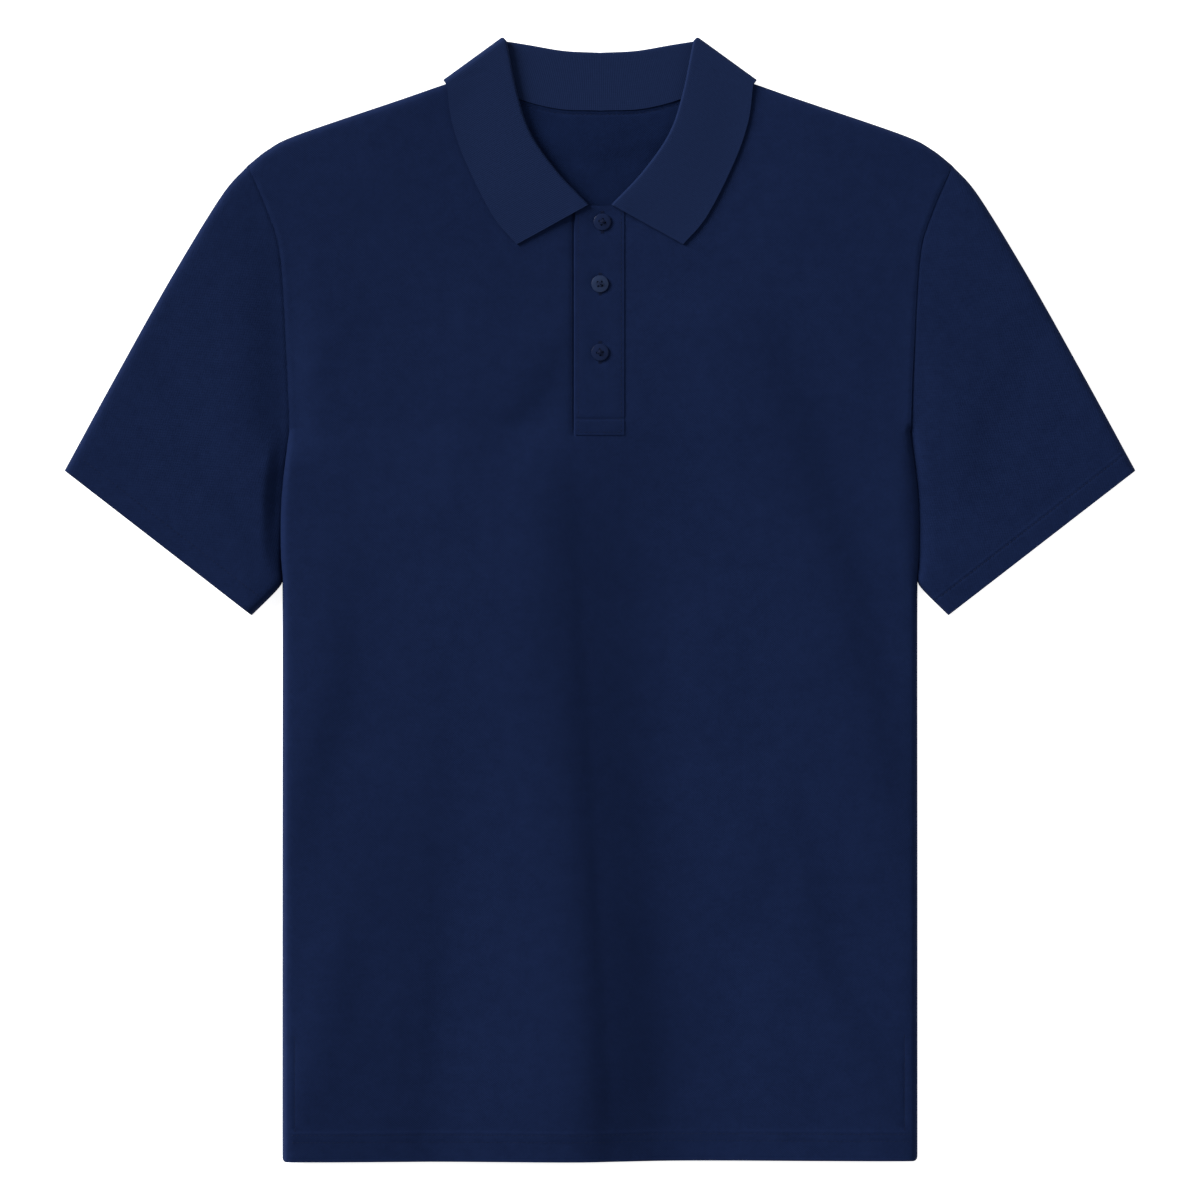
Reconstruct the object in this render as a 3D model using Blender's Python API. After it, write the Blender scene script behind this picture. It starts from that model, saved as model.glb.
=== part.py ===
"""A short-sleeved polo shirt laid flat on its back, buttoned, with its sleeves spread.

Frame: metres. +X is towards the wearer's left sleeve, +Y towards the collar, +Z up out of the
chest. The origin is under the middle of the shirt, on the surface that it lies on.
Outlines are those of the middle of the cloth's thickness, for the half at +X.
"""

import math

import bmesh
import bpy
import numpy as np
from mathutils import Matrix, Vector, geometry

MM = 0.001

# Cloth and seams
CLOTH = 1.2 * MM
COLLAR_CLOTH = 1.8 * MM
GAP = 0.3 * MM
SEAM_HALF_GAP = 0.25 * MM
LAYER = CLOTH + GAP

# Driving sizes
HEM_Y = -0.3757
SIDE_X = 0.2119
ARMPIT = (0.2076, 0.1120)
ARMHOLE_TOP = (0.2353, 0.2897)
NECK_POINT = (0.0780, 0.3524)
CUFF_INNER = (0.2335, -0.0105)
CUFF_OUTER = (0.3578, 0.0857)
HEM_CORNER = 0.0030

# Heights of the middle of the cloth above the surface
BACK_Z = CLOTH / 2
BODY_LOFT = 6.6 * MM
SLEEVE_LOFT = 5.6 * MM
NECK_LOFT = 5.5 * MM
NECK_FRONT_LOFT = 3.9 * MM
HEM_LOFT = 3.8 * MM
FOLD_RADIUS = 7.0 * MM
ARMHOLE_DIP = 0.9 * MM
ARMHOLE_DIP_WIDTH = 9 * MM
SLEEVE_EASE_START = 8 * MM
SLEEVE_EASE_WIDTH = 22 * MM
NECK_CENTRE_Y = 0.315
NECK_REACH = 0.085
NECK_EASE = 0.07
NECK_FRONT_Y = 0.262
NECK_FRONT_WIDTH = 0.026
HEM_EASE = 0.020
CUFF_EASE = 0.016

# Collar: the stand and the leaf turn over each other about one height at the shoulder
COLLAR_TURN_Z = 4.3 * MM
STAND_TURN = 1.25 * MM
LEAF_TURN = 3.4 * MM
SHOULDER_FOLD_NORMAL = (0.62, 0.785)
BACK_LIFT = COLLAR_CLOTH + GAP
BACK_LIFT_START = 4 * MM
BACK_LIFT_EASE = 26 * MM
TURN_ANGLES = (90, 60, 30, 0, -30, -60, -90)
NECK_TURN = (0.0742, 0.3508)

# Placket and buttons
BAND_LEFT = -0.0165
BAND_RIGHT = 0.0162
BAND_BOTTOM = 0.1096
SLOT_HALF = 0.0145
SLOT_BOTTOM = 0.1140
PLACKET_ROWS = 9
UNDER_HALF = 0.0142
BAND_TOP_GAP = 1.3 * MM
BUTTON_RADIUS = 5.7 * MM
BUTTON_THICKNESS = 2.3 * MM
BUTTON_SIDES = 20
BUTTON_PLACES = ((0.0015, 0.2520), (0.0000, 0.2105), (0.0000, 0.1647))
HOLE_RADIUS = 0.8 * MM
HOLE_SPACING = 1.35 * MM

# Outlines: only the points that each curve needs, from bottom to top or from the centre outwards
SIDE = ((SIDE_X, HEM_Y), (SIDE_X, -0.20), (SIDE_X, 0.012), (0.2093, 0.062), ARMPIT)
ARMHOLE = (ARMPIT, (0.2095, 0.160), (0.2135, 0.228), (0.2210, 0.256), ARMHOLE_TOP)
SHOULDER = (NECK_POINT, (0.1400, 0.3314), (0.2025, 0.3100), (0.2215, 0.3005), ARMHOLE_TOP)
SLEEVE_OUTER = (ARMHOLE_TOP, (0.2532, 0.2690), (0.2880, 0.2120), (0.3255, 0.1450), CUFF_OUTER)
UNDERARM = (
    (0.2095, 0.1120), (0.2113, 0.062), (0.2135, 0.030), (0.2143, 0.015), (0.2178, 0.008), CUFF_INNER,
)
NECKLINE = (
    (0.0, 0.2632), (0.0165, 0.2648), (0.0400, 0.2745), (0.0610, 0.3000), (0.0725, 0.3290), NECK_POINT,
)
BACK_NECKLINE = ((0.0, 0.3266), (0.0300, 0.3281), (0.0600, 0.3370), NECK_POINT)

# Collar edges. Front ones run from the centre to the shoulder, back ones on to the centre back
ROLL_FRONT = ((0.0082, 0.2632), (0.0290, 0.2852), (0.0463, 0.3100), (0.0553, 0.3355))
ROLL_BACK = ((0.0480, 0.3702), (0.0240, 0.3662), (0.0, 0.3650))
ROLL_PEAK = (0.0645, 0.3744)
LEAF_FRONT = ((0.0556, 0.2370), (0.0715, 0.2560), (0.0895, 0.2915), (0.0990, 0.3190))
LEAF_BACK = ((0.0850, 0.3345), (0.0450, 0.3225), (0.0, 0.3180))
LEAF_SHOULDER = (0.1045, 0.3466)

# Creases of the front layer: route, half width, height (below zero for a trough)
CREASES = (
    (((-0.030, 0.085), (-0.055, -0.150), (-0.080, -0.380)), 0.030, 2.0 * MM),
    (((0.006, 0.095), (0.022, -0.060), (0.036, -0.240), (0.020, -0.380)), 0.030, -2.8 * MM),
    (((-0.113, -0.070), (-0.133, -0.300), (-0.165, -0.380)), 0.028, -1.6 * MM),
    (((-0.150, 0.000), (-0.178, -0.080), (-0.200, -0.170)), 0.022, -1.6 * MM),
    (((0.114, 0.170), (0.147, 0.033), (0.174, -0.054), (0.204, -0.170)), 0.024, -1.8 * MM),
    (((0.140, -0.160), (0.181, -0.270), (0.192, -0.380)), 0.022, -1.4 * MM),
    (((-0.275, 0.095), (-0.238, 0.040)), 0.016, -1.1 * MM),
    (((0.262, 0.110), (0.242, 0.040)), 0.016, -1.1 * MM),
)

# Grids
BODY_STEP = 0.026
BODY_EDGE_CLEAR = 0.011
BACK_STEP = 0.060
BACK_EDGE_CLEAR = 0.020
BACK_YOKE_Y = 0.27
YOKE_OFFSETS = (4 * MM, 12 * MM, 20 * MM, 30 * MM)
BESIDE_PLACKET_X = 0.021
CLEAR_OF_PLACKET_X = 0.027
CLEAR_OF_PLACKET_Y = 0.095
BAND_COLUMNS = 5
FOLD_STEPS = (0.6 * MM, 2.2 * MM, 4.6 * MM, 7.6 * MM)
ARMHOLE_SHARES = (
    0, 0.006, 0.018, 0.036, 0.07, 0.2, 0.36, 0.52, 0.68, 0.82, 0.93, 0.962, 0.982, 0.994, 1,
)
BACK_SHARES = (0, 0.12, 0.26, 0.42, 0.58, 0.72, 0.84, 0.93, 1)
SLEEVE_ROWS = (0, 0.05, 0.12, 0.22, 0.34, 0.48, 0.60, 0.70, 0.76, 0.82, 0.90, 0.96, 1)
COLLAR_ROWS = 11
COLLAR_START_X = 0.0100
COLLAR_TURN_SHARE = 0.94
BACK_COLLAR_SHARES = (0.09, 0.24, 0.40, 0.56, 0.72, 0.86, 1)

NAVY = (0.0125, 0.0200, 0.0560)
COLLAR_NAVY = (0.0140, 0.0225, 0.0600)
BUTTON_NAVY = (0.0180, 0.0260, 0.0600)


def clear_scene():
    for obj in list(bpy.data.objects):
        bpy.data.objects.remove(obj, do_unlink=True)


def material(name, colour, roughness):
    made = bpy.data.materials.new(name)
    made.use_nodes = True
    shader = made.node_tree.nodes["Principled BSDF"]
    shader.inputs["Base Color"].default_value = (*colour, 1)
    shader.inputs["Roughness"].default_value = roughness
    shader.inputs["Metallic"].default_value = 0
    made.diffuse_color = (*colour, 1)
    return made


# ---------------------------------------------------------------- curves

def curve(points, shares):
    """The smooth curve through the points, at these shares of its length."""
    points = np.array(points, float)
    ends = np.vstack([2 * points[0] - points[1], points, 2 * points[-1] - points[-2]])
    fine = []
    for i in range(1, len(ends) - 2):
        before, start, end, after = ends[i - 1 : i + 3]
        for t in np.linspace(0, 1, 24, endpoint=False):
            fine.append(
                0.5 * (2 * start + (end - before) * t
                       + (2 * before - 5 * start + 4 * end - after) * t**2
                       + (3 * start - before - 3 * end + after) * t**3)
            )
    fine = np.array(fine + [points[-1]])
    along = np.concatenate([[0], np.cumsum(np.linalg.norm(np.diff(fine, axis=0), axis=1))])
    wanted = np.asarray(shares) * along[-1]
    return np.stack([np.interp(wanted, along, fine[:, i]) for i in range(fine.shape[1])], axis=1)


def even(points, count):
    return curve(points, np.linspace(0, 1, count))


def shifted(points, distance):
    """The plan curve moved sideways: to its right for a positive distance."""
    along = np.gradient(points, axis=0)
    along /= np.linalg.norm(along, axis=1)[:, None]
    return points + distance * np.stack([along[:, 1], -along[:, 0]], axis=1)


def distance_to(line, x, y):
    """Distance of each point (x, y) from a plan polyline."""
    nearest = np.full(np.shape(x), np.inf)
    for (ax, ay), (bx, by) in zip(line[:-1], line[1:]):
        dx, dy = bx - ax, by - ay
        length_squared = max(dx * dx + dy * dy, 1e-12)
        share = np.clip(((x - ax) * dx + (y - ay) * dy) / length_squared, 0, 1)
        nearest = np.minimum(nearest, np.hypot(x - ax - share * dx, y - ay - share * dy))
    return nearest


def smooth_step(value):
    value = np.clip(value, 0, 1)
    return value * value * (3 - 2 * value)


# ---------------------------------------------------------------- heights

SIDE_LINE = even(SIDE, 30)
ARMHOLE_LINE = even(ARMHOLE, 24)
TOP_LINE = np.vstack([even(SHOULDER, 16), even(SLEEVE_OUTER, 16)])
UNDERARM_LINE = even(UNDERARM, 16)
LEAF_BACK_LINE = even((LEAF_SHOULDER, *LEAF_BACK), 16)


def back_height(x, y):
    """The back lies flat, and rises over the collar's leaf at the neck."""
    x = np.abs(x)
    leaf_y = np.interp(x, LEAF_BACK_LINE[::-1, 0], LEAF_BACK_LINE[::-1, 1])
    away = np.where((y > leaf_y) & (x < LEAF_SHOULDER[0]), 0, distance_to(LEAF_BACK_LINE, x, y))
    return BACK_Z + BACK_LIFT * (1 - smooth_step((away - BACK_LIFT_START) / BACK_LIFT_EASE))


def sleeve_side(x, y):
    """Signed distance from the armhole seam: above zero on the sleeve."""
    x = np.abs(x)
    seam_x = np.interp(y, ARMHOLE_LINE[:, 1], ARMHOLE_LINE[:, 0])
    side_x = np.interp(y, SIDE_LINE[:, 1], SIDE_LINE[:, 0])
    edge = np.where(y > ARMPIT[1], seam_x, side_x)
    return np.where(x > edge, 1, -1) * distance_to(ARMHOLE_LINE, x, y)


def hump(distance, width):
    return np.exp(-((distance / width) ** 2))


def loft(x, y):
    """Height of the front layer away from its folded edges."""
    seam = sleeve_side(x, y)
    on_sleeve = smooth_step((seam + SLEEVE_EASE_START) / SLEEVE_EASE_WIDTH)
    height = BODY_LOFT + (SLEEVE_LOFT - BODY_LOFT) * on_sleeve
    height = height - ARMHOLE_DIP * hump(seam, ARMHOLE_DIP_WIDTH)
    at_neck = 1 - smooth_step((np.hypot(x, y - NECK_CENTRE_Y) - NECK_REACH) / NECK_EASE)
    height = height + (NECK_LOFT - height) * at_neck
    at_neck_front = hump(np.hypot(x, y - NECK_FRONT_Y), NECK_FRONT_WIDTH)
    height = height + (NECK_FRONT_LOFT - height) * at_neck_front
    for route, half_width, depth in CREASES:
        height = height + depth * hump(distance_to(route, x, y), half_width)
    height = height + (HEM_LOFT - height) * hump(y - HEM_Y, HEM_EASE)
    cuff = distance_to((CUFF_INNER, CUFF_OUTER), np.abs(x), y)
    return height + (HEM_LOFT - height) * hump(cuff, CUFF_EASE)


def front_height(x, y):
    """The front layer: lofted, and rolled down to the back at the folded edges."""
    low = back_height(x, y) + LAYER
    edge = np.minimum(distance_to(TOP_LINE, np.abs(x), y), distance_to(UNDERARM_LINE, np.abs(x), y))
    edge = np.minimum(edge, distance_to(SIDE_LINE, np.abs(x), y))
    inside = 1 - np.clip(edge / FOLD_RADIUS, 0, 1)
    return low + (np.maximum(loft(x, y), low) - low) * np.sqrt(1 - inside**2)


# ---------------------------------------------------------------- solids

def solid(name, points, faces, thickness, finish):
    """A sheet of cloth: its middle surface, given its thickness."""
    mesh = bpy.data.meshes.new(name)
    mesh.from_pydata([tuple(map(float, p)) for p in points], [], faces)
    shape = bmesh.new()
    shape.from_mesh(mesh)
    bmesh.ops.recalc_face_normals(shape, faces=shape.faces)
    shape.to_mesh(mesh)
    shape.free()
    mesh.materials.append(finish)
    made = bpy.data.objects.new(name, mesh)
    bpy.context.collection.objects.link(made)
    wall = made.modifiers.new("cloth thickness", "SOLIDIFY")
    wall.thickness = thickness
    wall.offset = 0
    wall.use_even_offset = True
    wall.thickness_clamp = 0
    wall.use_quality_normals = True
    return made


def grid_faces(rows, columns, closed=False):
    """Quads over a grid of points. A closed grid joins its last column to its first."""
    faces = []
    for i in range(rows - 1):
        for j in range(columns if closed else columns - 1):
            k = (j + 1) % columns
            low, high = i * columns, (i + 1) * columns
            faces.append((low + j, high + j, high + k, low + k))
    return faces


def inside_points(outline, step, clear):
    """Grid points inside an outline, well clear of it."""
    low, high = outline.min(axis=0), outline.max(axis=0)
    columns = np.linspace(low[0], high[0], int(round((high[0] - low[0]) / step)) + 1)
    rows = np.linspace(low[1], high[1], int(round((high[1] - low[1]) / step)) + 1)
    x, y = (a.ravel() for a in np.meshgrid(columns, rows))
    ring = np.vstack([outline, outline[:1]])
    crossings = np.zeros(x.shape, bool)
    for (ax, ay), (bx, by) in zip(ring[:-1], ring[1:]):
        if ay != by:
            crossings ^= ((ay > y) != (by > y)) & (x < (bx - ax) * (y - ay) / (by - ay) + ax)
    keep = crossings & (distance_to(ring, x, y) > clear)
    return np.stack([x[keep], y[keep]], axis=1)


def panel(name, outline, inner, height, finish):
    """A cut panel: its outline and inner points joined by triangles, at the heights given."""
    points = np.vstack([outline, inner])
    count = len(outline)
    edges = [(i, (i + 1) % count) for i in range(count)]
    made = geometry.delaunay_2d_cdt([Vector(p) for p in points], edges, [], 1, 1e-7)
    plan = np.array([tuple(v) for v in made[0]])
    heights = height(plan[:, 0], plan[:, 1])
    faces = [tuple(f) for f in made[2]]
    return solid(name, np.column_stack([plan, heights]), faces, CLOTH, finish)


def mirrored(points):
    return np.asarray(points)[::-1] * (-1, 1)


def hem_half(count):
    """From the middle of the hem to the bottom of the side, round the corner."""
    centre = (SIDE_X - HEM_CORNER, HEM_Y + HEM_CORNER)
    turns = np.linspace(-math.pi / 2, 0, 4)
    corner = [np.add(centre, (HEM_CORNER * math.cos(a), HEM_CORNER * math.sin(a))) for a in turns]
    straight = [(x, HEM_Y) for x in np.linspace(0, centre[0], count)[:-1]]
    return np.vstack([straight, corner])


def fold_rows(line, inward):
    """Rows of points beside a folded edge, closer together nearer to it."""
    return np.vstack([shifted(line, inward * d) for d in FOLD_STEPS])


def neck_shares(start_x):
    """Places along the neckline, from this distance off centre to where the collar turns over."""
    line = even(NECKLINE, 200)
    start = np.interp(start_x, line[:100, 0], np.linspace(0, 1, 200)[:100])
    return np.linspace(start, COLLAR_TURN_SHARE, COLLAR_ROWS)


def neck_points(shares, outward):
    """Points of the neckline at these shares, moved out of the neck."""
    line = shifted(even(NECKLINE, 400), outward)
    return line[np.round(shares * 399).astype(int)]


def placket_rows(x, count, top_gap):
    """Heights up the placket, from the slot's bottom to the neckline."""
    line = even(NECKLINE, 200)
    top = np.interp(abs(x), line[:100, 0], line[:100, 1]) - top_gap
    return np.linspace(SLOT_BOTTOM, top, count)


def make_front(finish):
    hem = hem_half(9)
    side = even(SIDE, 20)[1:-1]
    armhole = shifted(curve(ARMHOLE, ARMHOLE_SHARES), -SEAM_HALF_GAP)
    shoulder = even(SHOULDER[::-1], 10)[1:-1]
    shares = neck_shares(COLLAR_START_X)
    shares = np.concatenate([[1], shares[shares > neck_shares(SLOT_HALF + 2 * MM)[0]][::-1]])
    neckline = neck_points(shares, SEAM_HALF_GAP)
    slot_rows = placket_rows(SLOT_HALF, PLACKET_ROWS, SEAM_HALF_GAP)[::-1]
    slot = np.array([(SLOT_HALF, y) for y in slot_rows])
    foot = np.array([(SLOT_HALF / 2, SLOT_BOTTOM), (0, SLOT_BOTTOM)])
    half = np.vstack([hem, side, armhole, shoulder, neckline, slot, foot])
    outline = np.vstack([half, mirrored(half)[1:-1]])
    rolled = np.vstack([
        fold_rows(even(SIDE, 20)[1:-1], -1),
        fold_rows(even(SHOULDER, 10)[1:-1], 1),
    ])
    beside_rows = placket_rows(BESIDE_PLACKET_X, PLACKET_ROWS, 6 * MM)
    beside = np.array([(x, y) for x in (-BESIDE_PLACKET_X, BESIDE_PLACKET_X) for y in beside_rows])
    below = np.array([(x, BAND_BOTTOM - 1 * MM) for x in (BAND_LEFT, 0, BAND_RIGHT)])
    spread = inside_points(outline, BODY_STEP, BODY_EDGE_CLEAR)
    off_placket = np.abs(spread[:, 0]) > CLEAR_OF_PLACKET_X
    spread = spread[off_placket | (spread[:, 1] < CLEAR_OF_PLACKET_Y)]
    inner = np.vstack([rolled, rolled * (-1, 1), beside, below, spread])
    return panel("front", outline, inner, front_height, finish)


def make_back(finish):
    hem = hem_half(4)
    side = even(SIDE, 8)[1:-1]
    armhole = shifted(curve(ARMHOLE, BACK_SHARES), -SEAM_HALF_GAP)
    shoulder = even(SHOULDER[::-1], 9)[1:-1]
    neckline = curve(BACK_NECKLINE[::-1], (0, *BACK_COLLAR_SHARES)) - (0, SEAM_HALF_GAP)
    half = np.vstack([hem, side, armhole, shoulder, neckline])
    outline = np.vstack([half, mirrored(half)[1:-1]])
    yoke = np.vstack([shifted(LEAF_BACK_LINE[::2], -d) for d in YOKE_OFFSETS])
    yoke = yoke[yoke[:, 0] > 4 * MM]
    spread = inside_points(outline, BACK_STEP, BACK_EDGE_CLEAR)
    inner = np.vstack([yoke, yoke * (-1, 1), spread[spread[:, 1] < BACK_YOKE_Y]])
    return panel("back", outline, inner, back_height, finish)


def sleeve_plan(shares):
    """Plan points of a sleeve, in rows from the armhole to the cuff."""
    armhole = shifted(curve(ARMHOLE, shares), SEAM_HALF_GAP)
    cuff_run = np.subtract(CUFF_OUTER, CUFF_INNER)
    cuff = np.array([np.add(CUFF_INNER, v * cuff_run) for v in shares])
    inner = curve(UNDERARM, SLEEVE_ROWS)
    outer = curve(SLEEVE_OUTER, SLEEVE_ROWS)
    armhole = armhole + (inner[0] - armhole[0]) * ((1 - np.array(shares)) ** 10)[:, None]
    v = np.array(shares)[:, None]
    rows = []
    for s, left, right in zip(SLEEVE_ROWS, inner, outer):
        across = (1 - s) * armhole + s * cuff
        down = (1 - v) * left + v * right
        start = (1 - v) * armhole[0] + v * armhole[-1]
        end = (1 - v) * cuff[0] + v * cuff[-1]
        rows.append(across + down - (1 - s) * start - s * end)
    return np.array(rows)


def make_sleeve(name, hand, finish):
    """A tube of one piece, folded flat: its front layer, its outer fold and its back layer."""
    front = sleeve_plan(ARMHOLE_SHARES)
    back = sleeve_plan(BACK_SHARES)[:, ::-1]
    x, y = hand * front[..., 0], front[..., 1]
    top = np.dstack([x, y, front_height(x, y)])
    x, y = hand * back[..., 0], back[..., 1]
    under = np.dstack([x, y, back_height(x, y)])
    ring = np.concatenate([top, under], axis=1)
    rows, columns = ring.shape[:2]
    return solid(name, ring.reshape(-1, 3), grid_faces(rows, columns, closed=True), CLOTH, finish)


def turned(apex, radius, angle):
    """A point of a layer that turns over at the shoulder, as (x, y, z)."""
    back_off = radius * (1 - math.cos(angle))
    return (
        apex[0] - back_off * SHOULDER_FOLD_NORMAL[0],
        apex[1] - back_off * SHOULDER_FOLD_NORMAL[1],
        COLLAR_TURN_Z + radius * math.sin(angle),
    )


def turns_over(apex, radius):
    return np.array([turned(apex, radius, math.radians(a)) for a in TURN_ANGLES])


def level(points, z):
    return np.column_stack([points, np.full(len(points), z)])


def collar_edge(front, apex, back, radius):
    """One lengthwise line of the collar, from centre front over the shoulder to centre back."""
    turns = turns_over(apex, radius)
    ahead = np.vstack([level(front, turns[0][2]), turns[:1]])
    behind = np.vstack([turns[-1:], level(back, turns[-1][2])])
    ahead = even(ahead, COLLAR_ROWS + 1)[:-1]
    behind = even(behind, len(BACK_COLLAR_SHARES) + 1)[1:]
    return np.vstack([ahead, turns, behind])


def neck_edge():
    """The collar's sewn edge: beside the two necklines, turning over inside the shoulder."""
    turns = turns_over(NECK_TURN, STAND_TURN)
    ahead = neck_points(neck_shares(COLLAR_START_X), -SEAM_HALF_GAP)
    behind = curve(BACK_NECKLINE[::-1], BACK_COLLAR_SHARES) + (0, SEAM_HALF_GAP)
    return np.vstack([level(ahead, turns[0][2]), turns, level(behind, turns[-1][2])])


def make_collar(finish):
    """Stand and leaf in one rib-knit strip, folded over along the roll line."""
    half_fold = (LEAF_TURN - STAND_TURN) / 2
    mid_turn = (LEAF_TURN + STAND_TURN) / 2
    neck = neck_edge()
    roll = collar_edge(ROLL_FRONT, ROLL_PEAK, ROLL_BACK, mid_turn)
    leaf = collar_edge(LEAF_FRONT, LEAF_SHOULDER, LEAF_BACK, LEAF_TURN)
    degrees = [90] * COLLAR_ROWS + list(TURN_ANGLES) + [-90] * len(BACK_COLLAR_SHARES)
    angles = np.radians(degrees)[:, None]
    outward = np.hstack([np.cos(angles) * SHOULDER_FOLD_NORMAL, np.sin(angles)])
    away = roll - (neck + leaf) / 2
    away -= outward * (away * outward).sum(axis=1)[:, None]
    away /= np.linalg.norm(away, axis=1)[:, None]
    columns = []
    for share in (0, 0.5):
        end = roll - outward * half_fold - away * half_fold
        columns.append(neck + share * (end - neck))
    for angle in np.radians((-90, -45, 0, 45, 90)):
        centre = roll - away * half_fold
        columns.append(centre + half_fold * (away * math.cos(angle) + outward * math.sin(angle)))
    for share in (0.33, 0.67, 1):
        start = roll + outward * half_fold - away * half_fold
        columns.append(start + share * (leaf - start))
    half = np.stack(columns, axis=1)
    whole = np.concatenate([half, half[-2::-1] * (-1, 1, 1)])
    rows, count = whole.shape[:2]
    return solid("collar", whole.reshape(-1, 3), grid_faces(rows, count), COLLAR_CLOTH, finish)


def make_band(name, left, right, bottom, above, finish):
    """A placket band: the front's own points between these edges, moved out of the front."""
    columns = np.linspace(left, right, BAND_COLUMNS)
    y = np.array([placket_rows(x, PLACKET_ROWS, BAND_TOP_GAP) for x in columns]).T
    y = np.vstack([np.full((1, BAND_COLUMNS), bottom), y[y[:, 0] > bottom + CLOTH]])
    x = np.broadcast_to(columns, y.shape)
    z = front_height(x, y) + above
    return solid(name, np.dstack([x, y, z]).reshape(-1, 3), grid_faces(*y.shape), CLOTH, finish)


def make_button(name, place, finish):
    """A turned button with a raised rim, a dished face and four sewing holes."""
    r, t = BUTTON_RADIUS, BUTTON_THICKNESS
    profile = (
        (0, 0.25 * t), (0.55 * r, 0.05 * t), (0.80 * r, 0), (0.97 * r, 0.30 * t),
        (r, 0.60 * t), (0.94 * r, 0.92 * t), (0.84 * r, t), (0.72 * r, 0.90 * t),
        (0.62 * r, 0.66 * t), (0, 0.62 * t),
    )
    shape = bmesh.new()
    line = [shape.verts.new((radius, 0, height)) for radius, height in profile]
    edges = [shape.edges.new(pair) for pair in zip(line[:-1], line[1:])]
    bmesh.ops.spin(
        shape, geom=line + edges, cent=(0, 0, 0), axis=(0, 0, 1), angle=2 * math.pi,
        steps=BUTTON_SIDES, use_merge=True,
    )
    bmesh.ops.remove_doubles(shape, verts=shape.verts, dist=1e-6)
    bmesh.ops.recalc_face_normals(shape, faces=shape.faces)
    mesh = bpy.data.meshes.new(name)
    shape.to_mesh(mesh)
    shape.free()
    mesh.materials.append(finish)
    made = bpy.data.objects.new(name, mesh)
    bpy.context.collection.objects.link(made)
    turns = np.linspace(0, 2 * math.pi, BUTTON_SIDES)
    under_rim = front_height(place[0] + r * np.cos(turns), place[1] + r * np.sin(turns))
    made.location = (*place, under_rim.max() + LAYER + CLOTH / 2 + GAP)
    holes = bmesh.new()
    for dx in (-HOLE_SPACING, HOLE_SPACING):
        for dy in (-HOLE_SPACING, HOLE_SPACING):
            bmesh.ops.create_cone(
                holes, cap_ends=True, segments=8, radius1=HOLE_RADIUS, radius2=HOLE_RADIUS,
                depth=3 * t, matrix=Matrix.Translation((dx, dy, t / 2)),
            )
    drill_mesh = bpy.data.meshes.new(name + "_drill")
    holes.to_mesh(drill_mesh)
    holes.free()
    drill = bpy.data.objects.new(name + "_drill", drill_mesh)
    bpy.context.collection.objects.link(drill)
    drill.location = made.location
    drill.hide_render = True
    drill.display_type = "WIRE"
    cut = made.modifiers.new("sewing holes", "BOOLEAN")
    cut.operation = "DIFFERENCE"
    cut.object = drill
    return made


def main():
    clear_scene()
    knit = material("pique_knit", NAVY, 0.9)
    rib = material("rib_knit", COLLAR_NAVY, 0.9)
    plastic = material("button_plastic", BUTTON_NAVY, 0.35)
    make_front(knit)
    make_back(knit)
    make_sleeve("sleeve_left", 1, knit)
    make_sleeve("sleeve_right", -1, knit)
    make_collar(rib)
    make_band("placket_top", BAND_LEFT, BAND_RIGHT, BAND_BOTTOM, LAYER, knit)
    make_band("placket_under", -UNDER_HALF, UNDER_HALF, SLOT_BOTTOM + GAP, 0, knit)
    for number, place in enumerate(BUTTON_PLACES, 1):
        make_button(f"button_{number}", place, plastic)


main()
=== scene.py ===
"""The looks of a navy polo shirt laid flat: pique panels, rib collar, placket, buttons and stitches."""

import math

import bmesh
import bpy
import numpy as np
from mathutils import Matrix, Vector, geometry


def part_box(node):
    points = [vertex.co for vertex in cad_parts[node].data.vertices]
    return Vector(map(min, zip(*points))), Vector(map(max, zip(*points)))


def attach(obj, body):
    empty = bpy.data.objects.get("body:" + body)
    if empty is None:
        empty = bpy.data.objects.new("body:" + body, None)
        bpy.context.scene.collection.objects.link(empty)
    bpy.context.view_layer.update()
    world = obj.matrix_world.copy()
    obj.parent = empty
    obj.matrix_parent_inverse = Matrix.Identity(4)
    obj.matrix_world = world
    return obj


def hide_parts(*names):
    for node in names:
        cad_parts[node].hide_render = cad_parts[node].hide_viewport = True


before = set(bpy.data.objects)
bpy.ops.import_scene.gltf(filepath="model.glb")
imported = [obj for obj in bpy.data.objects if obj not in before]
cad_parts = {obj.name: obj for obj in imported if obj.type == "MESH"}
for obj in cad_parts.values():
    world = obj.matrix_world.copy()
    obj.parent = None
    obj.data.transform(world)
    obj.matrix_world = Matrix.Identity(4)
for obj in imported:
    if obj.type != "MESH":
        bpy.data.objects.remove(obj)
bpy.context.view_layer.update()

MM = 0.001
BODY = "root"

# ---------------------------------------------------------------- sizes, in metres

CLOTH = 1.2 * MM
COLLAR_CLOTH = 1.45 * MM
LAYER = 1.5 * MM
SEAM = 0.10 * MM

HEM_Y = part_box("back")[0].y
SIDE_X = 0.2119
ARMPIT = (0.2076, 0.1120)
ARMHOLE_TOP = (0.2353, 0.2897)
NECK_POINT = (0.0780, 0.3524)
CUFF_INNER = (0.2335, -0.0105)
CUFF_OUTER = (0.3578, 0.0857)
HEM_CORNER = 0.0030

BACK_Z = CLOTH / 2
BODY_LOFT = 7.4 * MM
SLEEVE_LOFT = 6.8 * MM
NECK_LOFT = 5.5 * MM
NECK_FRONT_LOFT = 3.9 * MM
NECK_MIDDLE_Y = 0.315
NECK_FRONT_Y = 0.262
HEM_LOFT = 5.2 * MM
FOLD_RADIUS = 4.6 * MM
UNDERARM_ROLL = 12.0 * MM
RIGHT_SIDE_ROLL = 9.0 * MM

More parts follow.
